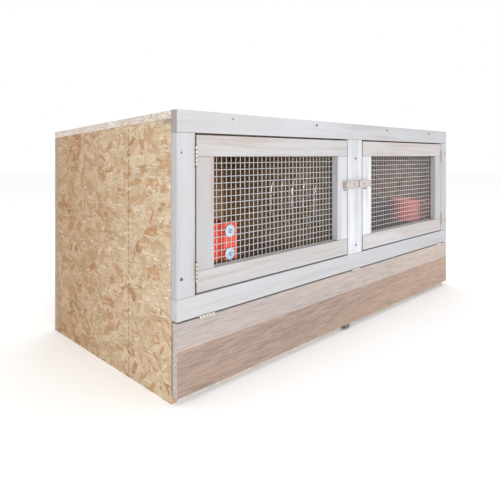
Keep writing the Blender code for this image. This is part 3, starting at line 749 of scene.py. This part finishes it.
class HUTCH_OT_chip_boards(bpy.types.Operator):
    """Finish the chipboard roof, back and base"""

    bl_idname = "hutch.chip_boards"
    bl_label = "Chipboards"

    def execute(self, context):
        paint(["roof_panel"], chip_finish("roof_chipboard", 2))
        paint(["back_panel"], chip_finish("back_chipboard", 1, (0.42, 0.35, 0.28),
                                          (0.24, 0.19, 0.15), (0.52, 0.31, 0.15)))
        paint(["base_panel"], chip_finish("base_chipboard", 2))
        return {"FINISHED"}


class HUTCH_OT_frame_timber(bpy.types.Operator):
    """Finish the whitewashed frame of the front"""

    bl_idname = "hutch.frame_timber"
    bl_label = "Frame Timber"

    def execute(self, context):
        white = tuple(board_settings().wash_white)
        warm = tuple(a * b for a, b in zip(white, (0.94, 0.90, 0.87)))
        line = tuple(a * b for a, b in zip(white, (0.80, 0.73, 0.69)))
        bright = tuple(a * 1.42 for a in white)
        shaded = tuple(a * 0.95 for a in white)
        beige = tuple(a * b for a, b in zip(white, (0.99, 0.955, 0.93)))
        boards = {"top_rail": (0, white, warm), "bottom_rail": (0, white, beige),
                  "post_left": (2, shaded, warm), "post_middle": (2, bright, white),
                  "post_right": (2, white, warm)}
        for count, (name, (grain, light, dark)) in enumerate(boards.items()):
            end = white if name == "bottom_rail" else (0.32, 0.285, 0.275)
            paint([name], timber_finish(name + "_timber", (light, dark, line), grain,
                                        1.3 + count * 4.1, 1.4, end))
        return {"FINISHED"}


class HUTCH_OT_door_timber(bpy.types.Operator):
    """Finish the rails and stiles of both doors"""

    bl_idname = "hutch.door_timber"
    bl_label = "Door Timber"

    def execute(self, context):
        settings = board_settings()
        rose, white = tuple(settings.wash_rose), tuple(settings.wash_white)
        pink = tuple(a * b for a, b in zip(rose, (0.90, 0.78, 0.72)))
        rail = (tuple((a + b) / 2 * 1.08 for a, b in zip(rose, white)), rose, pink)
        outer = (tuple(a * 0.91 for a in white), rose, pink)
        inner = (tuple(a * 1.30 for a in white), tuple(a * 1.12 for a in white), rose)
        grains = {"top_rail": (0, rail), "bottom_rail": (0, rail), "outer_stile": (2, outer),
                  "inner_stile": (2, inner)}
        count = 0
        for door, side in DOORS.items():
            for part, (grain, colours) in grains.items():
                name = f"{door}_{part}"
                tinted = [tuple(a * (0.99 + side * 0.06) for a in colour)
                          for colour in colours]
                paint([name], timber_finish(name + "_timber", tinted, grain,
                                            21.0 + count * 3.7, 1.8))
                count += 1
        return {"FINISHED"}


class HUTCH_OT_bare_timber(bpy.types.Operator):
    """Finish the battens, bearers and door stop"""

    bl_idname = "hutch.bare_timber"
    bl_label = "Bare Timber"

    def execute(self, context):
        bare = tuple(board_settings().bare_timber)
        colours = (bare, tuple(a * 0.88 for a in bare), tuple(a * 0.6 for a in bare))
        grains = {"roof_batten_front": 0, "roof_batten_rear": 0, "floor_bearer_front": 0,
                  "floor_bearer_rear": 0, "floor_bearer_left": 1, "floor_bearer_middle": 1,
                  "floor_bearer_right": 1, "door_stop": 2}
        for count, (name, grain) in enumerate(grains.items()):
            paint([name], timber_finish(name + "_timber", colours, grain, 61.0 + count * 5.3,
                                        2.0, (0.33, 0.26, 0.20)))
        return {"FINISHED"}


class HUTCH_OT_flap(bpy.types.Operator):
    """Finish the droppings flap and its catch"""

    bl_idname = "hutch.flap"
    bl_label = "Flap And Catch"

    def execute(self, context):
        paint(["flap"], laminate_finish("flap_laminate"))
        paint(["flap_catch"], plastic_finish("catch_plastic", (0.13, 0.11, 0.10), 0.5))
        return {"FINISHED"}


# ---- welded wire ----

def welded_wire(name, body, node, columns, rows, thin, seed, finish, crossed=True):
    """A sheet of welded wire where the node lies, its thin axis given."""
    low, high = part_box(node)
    across, up = [axis for axis in range(3) if axis != thin]
    radius = wire_settings().wire_diameter / 2
    rng = random.Random(seed)
    bm = bmesh.new()
    middle = (low[thin] + high[thin]) / 2
    front, back = middle - radius * 0.9, middle + radius * 0.9
    inset = radius
    pitch_a = (high[across] - low[across] - 2 * inset) / columns
    pitch_u = (high[up] - low[up] - 2 * inset) / rows

    def point(a, u, t):
        spot = Vector((0, 0, 0))
        spot[across], spot[up], spot[thin] = a, u, t
        return spot

    for i in range(columns + 1):
        a = low[across] + inset + i * pitch_a
        drift, slant = rng.uniform(-0.00012, 0.00012), rng.uniform(-0.0002, 0.0002)
        add_rod(bm, point(a + drift - slant * (i not in (0, columns)), low[up], back),
                point(a + drift + slant * (i not in (0, columns)), high[up], back), radius, 8)
    for j in range(rows + 1):
        u = low[up] + inset + j * pitch_u
        drift, slant = rng.uniform(-0.00012, 0.00012), rng.uniform(-0.0002, 0.0002)
        add_rod(bm, point(low[across], u + drift - slant * (j not in (0, rows)), front),
                point(high[across], u + drift + slant * (j not in (0, rows)), front), radius, 8)
    if crossed:
        for i in range(columns + 1):
            for j in range(rows + 1):
                spot = point(low[across] + inset + i * pitch_a, low[up] + inset + j * pitch_u,
                             middle)
                bmesh.ops.create_icosphere(bm, subdivisions=1, radius=radius * 1.25,
                                           matrix=Matrix.Translation(spot))
    return piece(name, bm, [finish], body, [node], 60.0)


class HUTCH_OT_door_wire(bpy.types.Operator):
    """Make the welded wire panels behind both door frames"""

    bl_idname = "hutch.door_wire"
    bl_label = "Door Wire"

    def execute(self, context):
        settings = wire_settings()
        for seed, door in enumerate(DOORS):
            welded_wire(f"{door}_welded_wire", door, f"{door}_mesh", settings.door_columns,
                        settings.door_rows, 1, seed + 1, zinc())
        return {"FINISHED"}


class HUTCH_OT_floor_wire(bpy.types.Operator):
    """Make the welded wire floors of both compartments"""

    bl_idname = "hutch.floor_wire"
    bl_label = "Floor Wire"

    def execute(self, context):
        pitch = wire_settings().floor_pitch
        stained = shared("stained_floor_wire", metal_finish, (0.36, 0.27, 0.19), 0.55, 120.0,
                         0.30, 0.1)
        for seed, side in enumerate(("left", "right")):
            low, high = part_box(f"floor_mesh_{side}")
            columns = round((high.x - low.x) / pitch)
            rows = round((high.y - low.y) / pitch)
            welded_wire(f"floor_welded_wire_{side}", "carcass", f"floor_mesh_{side}", columns,
                        rows, 2, seed + 11, stained, False)
        return {"FINISHED"}


class HUTCH_OT_staples(bpy.types.Operator):
    """Drive the staples that hold the wire to the door frames"""

    bl_idname = "hutch.staples"
    bl_label = "Staples"

    def execute(self, context):
        rng = random.Random(7)
        for door, side in DOORS.items():
            low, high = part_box(f"{door}_mesh")
            radius = wire_settings().wire_diameter / 2
            back = (low.y + high.y) / 2 + radius * 1.9
            bm = bmesh.new()
            spots = []
            inset = 0.017
            for i in range(7):
                x = low.x + 0.030 + i * (high.x - low.x - 0.060) / 6
                spots += [(x, low.z + inset, True), (x, high.z - inset, True)]
            for j in range(3):
                z = low.z + 0.085 + j * (high.z - low.z - 0.170) / 2
                spots += [(low.x + inset, z, False), (high.x - inset, z, False)]
            for x, z, flat in spots:
                x += rng.uniform(-0.003, 0.003)
                z += rng.uniform(-0.002, 0.002)
                long, short = 0.0050, 0.0006
                half = (long, short) if flat else (short, long)
                add_block(bm, (x - half[0], back, z - half[1]),
                          (x + half[0], back + 0.0011, z + half[1]), 0.0004, 1)
                for way in (-1, 1):
                    leg_x = x + way * (long - 0.0006) * flat
                    leg_z = z + way * (long - 0.0006) * (not flat)
                    add_rod(bm, (leg_x, back + 0.0004, leg_z),
                            (leg_x, low.y - 0.0004, leg_z), 0.0005, 6)
            piece(f"{door}_wire_staples", bm, [bright_zinc()], door, (), 60.0)
        return {"FINISHED"}


# ---- fittings ----

def hinge_leaf(bm, side, gap, length, knuckle, reach, first, pin):
    """One leaf with its knuckles about local Z. The leaf reaches to +Y."""
    thick, count, slit = 0.0009, 5, 0.0018
    outer = side * (gap / 2 - 0.0003)
    inner = outer - side * thick
    x_low, x_high = sorted((outer, inner))
    stand = knuckle + 0.0004
    half = length / 2
    pitch = length / count
    add_block(bm, (x_low, stand, -half), (x_high, stand + reach, half), 0.0002, 1)
    for i in range(first, count, 2):
        low = -half + i * pitch + slit / 2
        high = low + pitch - slit
        add_block(bm, (x_low, 0.0, low), (x_high, stand + 0.0004, high))
        add_turned(bm, [(0, high), (knuckle - 0.0005, high), (knuckle, high - 0.0005),
                        (knuckle, low + 0.0005), (knuckle - 0.0005, low), (0, low)], 24,
                   Matrix.Identity(4))
    core = len(bm.faces)
    if pin:
        add_turned(bm, [(0, half + 0.0009), (0.0009, half + 0.0007), (0.0014, half),
                        (0.0014, -half), (0.0009, -half - 0.0007), (0, -half - 0.0009)], 16,
                   Matrix.Identity(4))
        # The pin takes the second finish, the painted shade of the recesses
        mark(bm, core, 1)
    for z in (-half * 0.72, 0.0, half * 0.72):
        y = stand + reach * (0.42 if z == 0.0 else 0.68)
        face = Matrix.Translation((inner, y, z)) @ Matrix.Rotation(
            -side * math.pi / 2, 4, "Y") @ Matrix.Rotation(z * 90, 4, "Z")
        add_screw_head(bm, face, 0.0026, 0.0001, 0.0006, 1)


class HUTCH_OT_hinges(bpy.types.Operator):
    """Make the butt hinges, brassed on the doors and pale steel on the flap"""

    bl_idname = "hutch.hinges"
    bl_label = "Hinges"

    def execute(self, context):
        door_gap, flap_gap = 0.0045, 0.004
        brassed = [brass(), recess()]
        pale = [shared("pale_hinge_steel", metal_finish, (0.62, 0.58, 0.52), 0.45, 500.0, 0.2,
                       0.3), recess()]
        plans = []
        for door, side in DOORS.items():
            axis = Vector(JOINTS[f"{door}_swing"]["pos_m"])
            turn = 0.0 if side < 0 else math.pi
            for level in ("upper", "lower"):
                plans.append((f"{door}_hinge_{level}", axis, turn, door, 2))
        axis = Vector(JOINTS["flap_swing"]["pos_m"])
        for spot in ("left", "middle", "right"):
            plans.append((f"flap_hinge_{spot}", axis, math.pi / 2, "flap", 0))
        for name, axis, turn, body, along in plans:
            low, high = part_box(f"{name}_fixed_leaf")
            place = axis.copy()
            place[along] = (low[along] + high[along]) / 2
            length = high[along] - low[along]
            knuckle = axis.y - low.y
            reach = high.y - axis.y - knuckle - 0.0004
            gap = door_gap if along == 2 else flap_gap
            matrix = Matrix.Translation(place) @ Matrix.Rotation(turn, 4, "Y")
            for leaf, side, owner in (("fixed_leaf", -1, "carcass"), ("moving_leaf", 1, body)):
                bm = bmesh.new()
                hinge_leaf(bm, side, gap, length, knuckle, reach, 0 if side < 0 else 1,
                           side < 0)
                bmesh.ops.transform(bm, matrix=matrix, verts=bm.verts)
                piece(f"{name}_shaped_{leaf}", bm, brassed if along else pale, owner,
                      [f"{name}_{leaf}"], 35.0)
        return {"FINISHED"}


class HUTCH_OT_frame_screws(bpy.types.Operator):
    """Drive the countersunk screws of the front frame"""

    bl_idname = "hutch.frame_screws"
    bl_label = "Frame Screws"

    def execute(self, context):
        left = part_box("top_rail")[0].x
        rail_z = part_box("top_rail")[1].z - 0.013
        spots = [(left + 0.160, rail_z), (left + 0.480, rail_z), (left + 0.870, rail_z),
                 (left + 1.190, rail_z), (left + 0.678, 0.531), (left + 0.678, 0.257),
                 (left + 0.012, 0.547), (left + 0.012, 0.273),
                 (-left - 0.012, 0.547), (-left - 0.012, 0.273)]
        rng = random.Random(3)
        radius = fitting_settings().screw_head / 2
        bm = bmesh.new()
        for count, (x, z) in enumerate(spots):
            matrix = facing_matrix((x, FRONT - 0.0001, z), (0, -1, 0), rng.uniform(0, 1.5))
            add_screw_head(bm, matrix, radius * 0.62, 0.0003, 0.0012, 1)
            start = len(bm.faces)
            add_turned(bm, [(radius * 0.60, -0.0004), (radius * 0.64, 0.0003),
                            (radius * 0.92, 0.0005), (radius, 0.0001), (radius, -0.0006)], 28,
                       matrix)
            mark(bm, start, 2 if count in (0, 6) else 0)
        dull = shared("frame_screw_steel", metal_finish, (0.16, 0.14, 0.14), 0.42, 500.0, 0.2)
        piece("frame_screws", bm, [dull, recess(), bright_zinc()], "carcass", (),
              35.0)
        low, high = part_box("roof_panel")
        slope = math.atan2(high.z - low.z - 0.018, high.y - low.y)
        bm = bmesh.new()
        for x in (low.x + 0.008, low.x + 0.34, 0.0, high.x - 0.34, high.x - 0.008):
            for share in (0.02, 0.5, 0.98):
                y = low.y + (high.y - low.y) * share
                z = high.z - math.tan(slope) * (y - low.y) - 0.0004
                matrix = facing_matrix((x, y, z), (0, math.sin(slope), math.cos(slope)),
                                       rng.uniform(0, 1.5))
                add_screw_head(bm, matrix, radius, 0.0003, 0.0012, 1)
        piece("roof_screws", bm, [dull, recess()], "carcass", (), 35.0)
        return {"FINISHED"}


class HUTCH_OT_board_nails(bpy.types.Operator):
    """Drive the nails along the edges of the side boards"""

    bl_idname = "hutch.board_nails"
    bl_label = "Board Nails"

    def execute(self, context):
        rng = random.Random(5)
        radius = fitting_settings().nail_head / 2
        finish = shared("dull_nail", metal_finish, (0.20, 0.17, 0.15), 0.5)
        for side, name in ((-1, "left"), (1, "right")):
            low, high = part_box(f"side_panel_{name}")
            face = low.x if side < 0 else high.x
            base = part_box("base_panel")
            spots = []
            for i in range(5):
                z = low.z + 0.035 + i * (high.z - low.z - 0.09) / 4
                spots.append((low.y + 0.011, z))
                spots.append((high.y + 0.006, z))
            for i in range(5):
                y = low.y + 0.07 + i * (high.y - low.y - 0.14) / 4
                spots.append((y, (base[0].z + base[1].z) / 2))
                spots.append((y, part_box("floor_bearer_left")[1].z - 0.015))
            bm = bmesh.new()
            for y, z in spots:
                y += rng.uniform(-0.004, 0.004)
                z += rng.uniform(-0.006, 0.006)
                if y > high.y - 0.002:
                    y = high.y - 0.004
                add_rod(bm, (face - side * 0.0012, y, z), (face + side * 0.0003, y, z), radius,
                        14)
            piece(f"side_board_nails_{name}", bm, [finish], "carcass", (), 35.0)
        low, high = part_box("back_panel")
        bm = bmesh.new()
        for i in range(9):
            x = low.x + 0.030 + i * (high.x - low.x - 0.060) / 8
            for z in (low.z + 0.010, 0.203, high.z - 0.014):
                z += rng.uniform(-0.002, 0.002)
                add_rod(bm, (x + rng.uniform(-0.008, 0.008), high.y - 0.0012, z),
                        (x, high.y + 0.0003, z), radius, 14)
        for i in range(3):
            z = 0.110 + i * 0.190
            for x in (low.x + 0.008, 0.0, high.x - 0.008):
                add_rod(bm, (x, high.y - 0.0012, z), (x, high.y + 0.0003, z), radius, 14)
        piece("back_panel_nails", bm, [finish], "carcass", (), 35.0)
        return {"FINISHED"}


class HUTCH_OT_turn_buttons(bpy.types.Operator):
    """Make the wooden turn buttons, their screws and their stop nails"""

    bl_idname = "hutch.turn_buttons"
    bl_label = "Turn Buttons"

    def execute(self, context):
        wood = tuple(fitting_settings().button_wood)
        nails = bmesh.new()
        for side, name in ((-1, "left_turn_button"), (1, "right_turn_button")):
            low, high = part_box(name)
            bm = bmesh.new()
            add_block(bm, low, high, 0.0011, 3)
            rng = random.Random(side + 4)
            for vert in bm.verts:
                vert.co.z += rng.uniform(-0.00015, 0.00015)
            finish = timber_finish(f"{name}_timber",
                                   (wood, tuple(a * 0.93 for a in wood),
                                    tuple(a * 0.80 for a in wood)), 0, 91.0 + side * 6, 1.3,
                                   (0.42, 0.32, 0.29))
            piece(f"{name}_block", bm, [finish], name, [name], 30.0)

            screw = f"{name}_screw"
            low_s, high_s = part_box(screw)
            x, z = (low_s.x + high_s.x) / 2, (low_s.z + high_s.z) / 2
            bm = bmesh.new()
            head = high_s.x - low_s.x
            front = low.y - 0.0003
            add_screw_head(bm, facing_matrix((x, front - 0.0008, z), (0, -1, 0), 0.4 * side),
                           head / 2, 0.0014, 0.0012, 1)
            add_rod(bm, (x, front - 0.0002, z), (x, high_s.y, z), 0.0017, 12)
            plated = shared("button_screw_steel", metal_finish, (0.42, 0.41, 0.41), 0.38, 500.0,
                            0.12, 0.8)
            piece(f"{screw}_head", bm, [plated, recess()], "carcass",
                  [screw], 35.0)

            end = low.x if side < 0 else high.x
            stop_x = end + 0.004 if side < 0 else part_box(name)[0].x + 0.045
            nail_z = low.z - 0.0062
            add_rod(nails, (stop_x, FRONT + 0.006, nail_z), (stop_x, FRONT - 0.009, nail_z),
                    0.0010, 10)
            add_turned(nails, [(0, 0.0009), (0.0020, 0.0007), (0.0023, 0.0002), (0.0012, 0),
                               (0, 0)], 14,
                       facing_matrix((stop_x, FRONT - 0.009, nail_z), (0, -1, 0)))
        dull = shared("stop_nail_steel", metal_finish, (0.16, 0.13, 0.12), 0.5)
        split = {"left_door": lambda x: x < 0, "right_door": lambda x: x > 0}
        for door, keeps in split.items():
            bm = nails.copy()
            away = [vert for vert in bm.verts if not keeps(vert.co.x)]
            bmesh.ops.delete(bm, geom=away, context="VERTS")
            piece(f"{door}_stop_nail", bm, [dull], door, (), 35.0)
        nails.free()
        return {"FINISHED"}


# ---- feeders and hay rack ----

def feeder_bmesh(radius, height, half_width, start):
    """A cup on a flat plate in the plane y = 0, facing -Y, its middle at x = 0."""
    rim = fitting_settings().cup_rim / 2
    wall = 0.0025
    bm = bmesh.new()
    inner = radius - wall
    profile = [(0, 0.0025), (inner - 0.010, 0.0025), (inner - 0.003, 0.0050),
               (inner, 0.0110), (inner, height - rim), (inner + 0.0004, height - rim * 0.3),
               (radius - 0.0008, height), (radius + 0.0006, height - rim * 0.2),
               (radius + 0.0010, height - rim), (radius + 0.0006, height - rim * 1.8),
               (radius - 0.0001, height - rim * 2.2), (radius, 0.0055), (radius - 0.0016, 0.0016),
               (radius - 0.0055, 0.0), (0, 0.0)]
    add_turned(bm, profile, 64, Matrix.Translation((0, radius, 0)))
    for side in (-1, 1):
        low, high = sorted((side * start, side * half_width))
        add_block(bm, (low, 0.0001, 0.0005), (high, 0.0031, height - 0.0005), 0.0011, 2)
        for x in (half_width - 0.0025, start + 0.0005):
            add_block(bm, (side * x - 0.0012, 0.0028, 0.004),
                      (side * x + 0.0012, 0.0052, height - 0.004), 0.0008, 2)
    return bm


def wing_bolt(bm, matrix, washer, shank, roll):
    """A big washer with a wing nut on a bolt. The washer's back is at local z = 0."""
    radius = washer / 2
    add_turned(bm, [(0.0032, 0.0), (radius - 0.0004, 0.0), (radius, 0.0005),
                    (radius - 0.0001, 0.0011), (radius - 0.0010, 0.0015),
                    (0.0060, 0.0019), (0.0032, 0.0015), (0.0032, 0.0)], 40, matrix)
    start = len(bm.faces)
    turned = matrix @ Matrix.Rotation(roll, 4, "Z")
    add_turned(bm, [(0, 0.0080), (0.0040, 0.0078), (0.0046, 0.0070), (0.0056, 0.0022),
                    (0.0056, 0.0019), (0, 0.0019)], 20, turned)
    for side in (-1, 1):
        wing = turned @ Matrix.Rotation(side * 0.35, 4, "Y")
        low, high = sorted((side * 0.0035, side * 0.0105))
        add_block(bm, (low, -0.0010, 0.0035), (high, 0.0010, 0.0105), 0.0009, 3, wing)
    add_rod(bm, matrix @ Vector((0, 0, 0.0100)), matrix @ Vector((0, 0, -shank)), 0.0028, 16)
    mark(bm, start, 1)


class HUTCH_OT_feeders(bpy.types.Operator):
    """Make both feeder cups"""

    bl_idname = "hutch.feeders"
    bl_label = "Feeder Cups"

    def execute(self, context):
        plastic = tuple(fitting_settings().plastic)
        # The right cup gets a lighter, pinker copy of the feeder plastic: painted light, as it
        # stands in brighter light than the left cup
        reds = {"feeder_left": shared("feeder_plastic", plastic_finish, plastic),
                "feeder_right": shared("painted_light_feeder_plastic", plastic_finish,
                                       (plastic[0] * 1.55, plastic[1] * 4.0,
                                        plastic[2] * 7.0))}
        for name, body in (("feeder_left", "left_door"), ("feeder_right", "carcass")):
            low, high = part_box(name)
            size = high - low
            half = max(size.x, size.y) / 2 if name == "feeder_left" else size.y / 2
            reach = size.y if name == "feeder_left" else size.x
            bm = feeder_bmesh(reach / 2, size.z, half, 0.031)
            if name == "feeder_left":
                matrix = Matrix.Translation(((low.x + high.x) / 2, low.y, low.z))
            else:
                matrix = Matrix.Translation((high.x, (low.y + high.y) / 2, low.z)) \
                    @ Matrix.Rotation(math.pi / 2, 4, "Z")
            bmesh.ops.transform(bm, matrix=matrix, verts=bm.verts)
            piece(f"{name}_cup", bm, [reds[name]], body, [name], 40.0)
        return {"FINISHED"}


class HUTCH_OT_feeder_bolts(bpy.types.Operator):
    """Make the washers and wing nuts that hold the feeder cups"""

    bl_idname = "hutch.feeder_bolts"
    bl_label = "Feeder Bolts"

    def execute(self, context):
        washer = fitting_settings().washer
        head_depth = 0.0055
        steel = shared("wing_nut_zinc", metal_finish, (0.58, 0.63, 0.68), 0.36, 420.0, 0.12)
        # Painted light: the right feeder's washers get a much lighter, non-metallic zinc so they
        # read as lit in their shaded compartment
        painted_light_zinc = shared("painted_light_washer_zinc", metal_finish, (0.86, 0.95, 0.98), 0.34, 420.0, 0.06, 0.0)
        for feeder, body in (("feeder_left", "left_door"), ("feeder_right", "carcass")):
            for roll, level in ((0.25, "lower"), (-0.15, "upper")):
                name = f"{feeder}_bolt_{level}"
                low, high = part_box(name)
                middle = (low + high) / 2
                bm = bmesh.new()
                if feeder == "feeder_left":
                    back = low.y + head_depth
                    matrix = facing_matrix((middle.x, back, middle.z), (0, -1, 0), math.pi)
                    wing_bolt(bm, matrix, washer, high.y - back, roll)
                else:
                    back = low.x + head_depth
                    matrix = facing_matrix((back, middle.y, middle.z), (-1, 0, 0))
                    wing_bolt(bm, matrix, washer, high.x - back, math.pi / 2 + roll)
                # The right feeder's washers take the painted-light zinc
                face = bright_zinc() if body == "left_door" else painted_light_zinc
                piece(f"{name}_wing_nut", bm, [face, steel], body,
                      [name], 35.0)
        return {"FINISHED"}


class HUTCH_OT_hay_rack(bpy.types.Operator):
    """Bend the wires of the hay rack"""

    bl_idname = "hutch.hay_rack"
    bl_label = "Hay Rack"

    def execute(self, context):
        low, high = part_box("hay_rack")
        radius = wire_settings().rack_diameter / 2
        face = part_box("partition")[0].x
        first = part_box("top_rail")[0].y + 0.141
        depth = 0.022
        height = high.z - low.z - 2 * radius
        big, small, turn = 0.1196, 0.005, math.radians(60)
        rise = small * (1 - math.cos(turn)) + big * math.cos(turn)
        out = small * math.sin(turn) + big * (1 - math.sin(turn))
        bm = bmesh.new()
        for i in range(5):
            start = (face - 0.0003, first + i * 0.050, high.z - radius)
            bent_rod(bm, start, (-1, 0, 0), (0, 0, -1),
                     [("run", depth - out), ("bend", small, turn),
                      ("bend", big, math.pi / 2 - turn), ("run", height - 2 * rise),
                      ("bend", big, math.pi / 2 - turn), ("bend", small, turn),
                      ("run", depth - out)], radius, 12)
        rod_x = face - depth - radius * 1.8
        for share in (0.38, 0.62):
            z = low.z + radius + height * share
            add_rod(bm, (rod_x, low.y, z), (rod_x, high.y, z), radius, 12)
        shiny = shared("rack_wire", metal_finish, (0.98, 0.98, 0.97), 0.18, 500.0, 0.02, 0.65)
        piece("hay_rack_wires", bm, [shiny], "carcass", ["hay_rack"], 40.0)
        return {"FINISHED"}


# ---- studio ----

class HUTCH_OT_studio(bpy.types.Operator):
    """Lay the floor and set the lights and the camera"""

    bl_idname = "hutch.studio"
    bl_label = "Studio"

    def execute(self, context):
        settings = studio_settings()
        scene = context.scene
        scene.view_settings.view_transform = "Standard"
        scene.view_settings.look = "None"
        bm = bmesh.new()
        bmesh.ops.create_grid(bm, x_segments=4, y_segments=4, size=14)
        mesh = bpy.data.meshes.new("studio_floor")
        bm.to_mesh(mesh)
        bm.free()
        finish = Finish("studio_floor", roughness=0.8, specular=0.1)
        soft = finish.noise(finish.place(), 2.0, 2.0)
        finish.set("Base Color", finish.shade(tuple(settings.floor), 0.995 + soft * 0.01))
        mesh.materials.append(finish.material)
        floor = bpy.data.objects.new("studio_floor", mesh)
        scene.collection.objects.link(floor)

        world = bpy.data.worlds.new("studio_backdrop")
        world.use_nodes = True
        backdrop = world.node_tree.nodes["Background"]
        backdrop.inputs["Color"].default_value = (1.0, 1.0, 1.0, 1.0)
        backdrop.inputs["Strength"].default_value = settings.sky
        scene.world = world

        lights = (("front_softbox", (-1.5, -3.1, 1.0), (0.0, -0.2, 0.35), 0.9, 50.0),
                  ("top_softbox", (0.6, 0.4, 3.4), (0.0, 0.0, 0.0), 4.0, 22.0))
        for name, place, aim, size, power in lights:
            lamp = bpy.data.lights.new(name, "AREA")
            lamp.shape = "SQUARE"
            lamp.size = size
            lamp.energy = power
            obj = bpy.data.objects.new(name, lamp)
            obj.location = place
            obj.rotation_euler = (Vector(aim) - Vector(place)).to_track_quat(
                "-Z", "Y").to_euler()
            scene.collection.objects.link(obj)

        camera = bpy.data.cameras.new("studio_camera")
        camera.lens = settings.lens
        camera.sensor_width = 36.0
        camera.shift_x = -0.039
        camera.shift_y = -0.1889
        camera.clip_start = 0.05
        obj = bpy.data.objects.new("studio_camera", camera)
        obj.location = (-1.2594, -1.1682, 0.5404)
        obj.rotation_euler = (math.pi / 2, 0.0, math.radians(-45.871))
        scene.collection.objects.link(obj)
        scene.camera = obj
        return {"FINISHED"}


OPERATORS = (
    HUTCH_OT_strand_boards, HUTCH_OT_chip_boards, HUTCH_OT_frame_timber,
    HUTCH_OT_door_timber, HUTCH_OT_bare_timber, HUTCH_OT_flap, HUTCH_OT_door_wire,
    HUTCH_OT_floor_wire, HUTCH_OT_staples, HUTCH_OT_hinges, HUTCH_OT_frame_screws,
    HUTCH_OT_board_nails, HUTCH_OT_turn_buttons, HUTCH_OT_feeders, HUTCH_OT_feeder_bolts,
    HUTCH_OT_hay_rack, HUTCH_OT_studio,
)


class HUTCH_PT_finish(bpy.types.Panel):
    """Buttons that finish the hutch"""

    bl_idname = "HUTCH_PT_finish"
    bl_label = "Rabbit Hutch"
    bl_space_type = "VIEW_3D"
    bl_region_type = "UI"
    bl_category = "Hutch"

    def draw(self, context):
        for settings in (board_settings(), wire_settings(), fitting_settings(),
                         studio_settings()):
            box = self.layout.box()
            for key in settings.__annotations__:
                box.prop(settings, key)
        for operator in OPERATORS:
            self.layout.operator(operator.bl_idname)


SETTINGS = {"hutch_boards": HutchBoardSettings, "hutch_wire": HutchWireSettings,
            "hutch_fittings": HutchFittingSettings, "hutch_studio": HutchStudioSettings}


def register():
    for kind in (*SETTINGS.values(), *OPERATORS, HUTCH_PT_finish):
        bpy.utils.register_class(kind)
    for key, kind in SETTINGS.items():
        setattr(bpy.types.Scene, key, PointerProperty(type=kind))


def unregister():
    for key in SETTINGS:
        delattr(bpy.types.Scene, key)
    for kind in reversed((*SETTINGS.values(), *OPERATORS, HUTCH_PT_finish)):
        bpy.utils.unregister_class(kind)


def main():
    register()
    for operator in OPERATORS:
        family, name = operator.bl_idname.split(".")
        getattr(getattr(bpy.ops, family), name)()


if __name__ == "__main__":
    main()
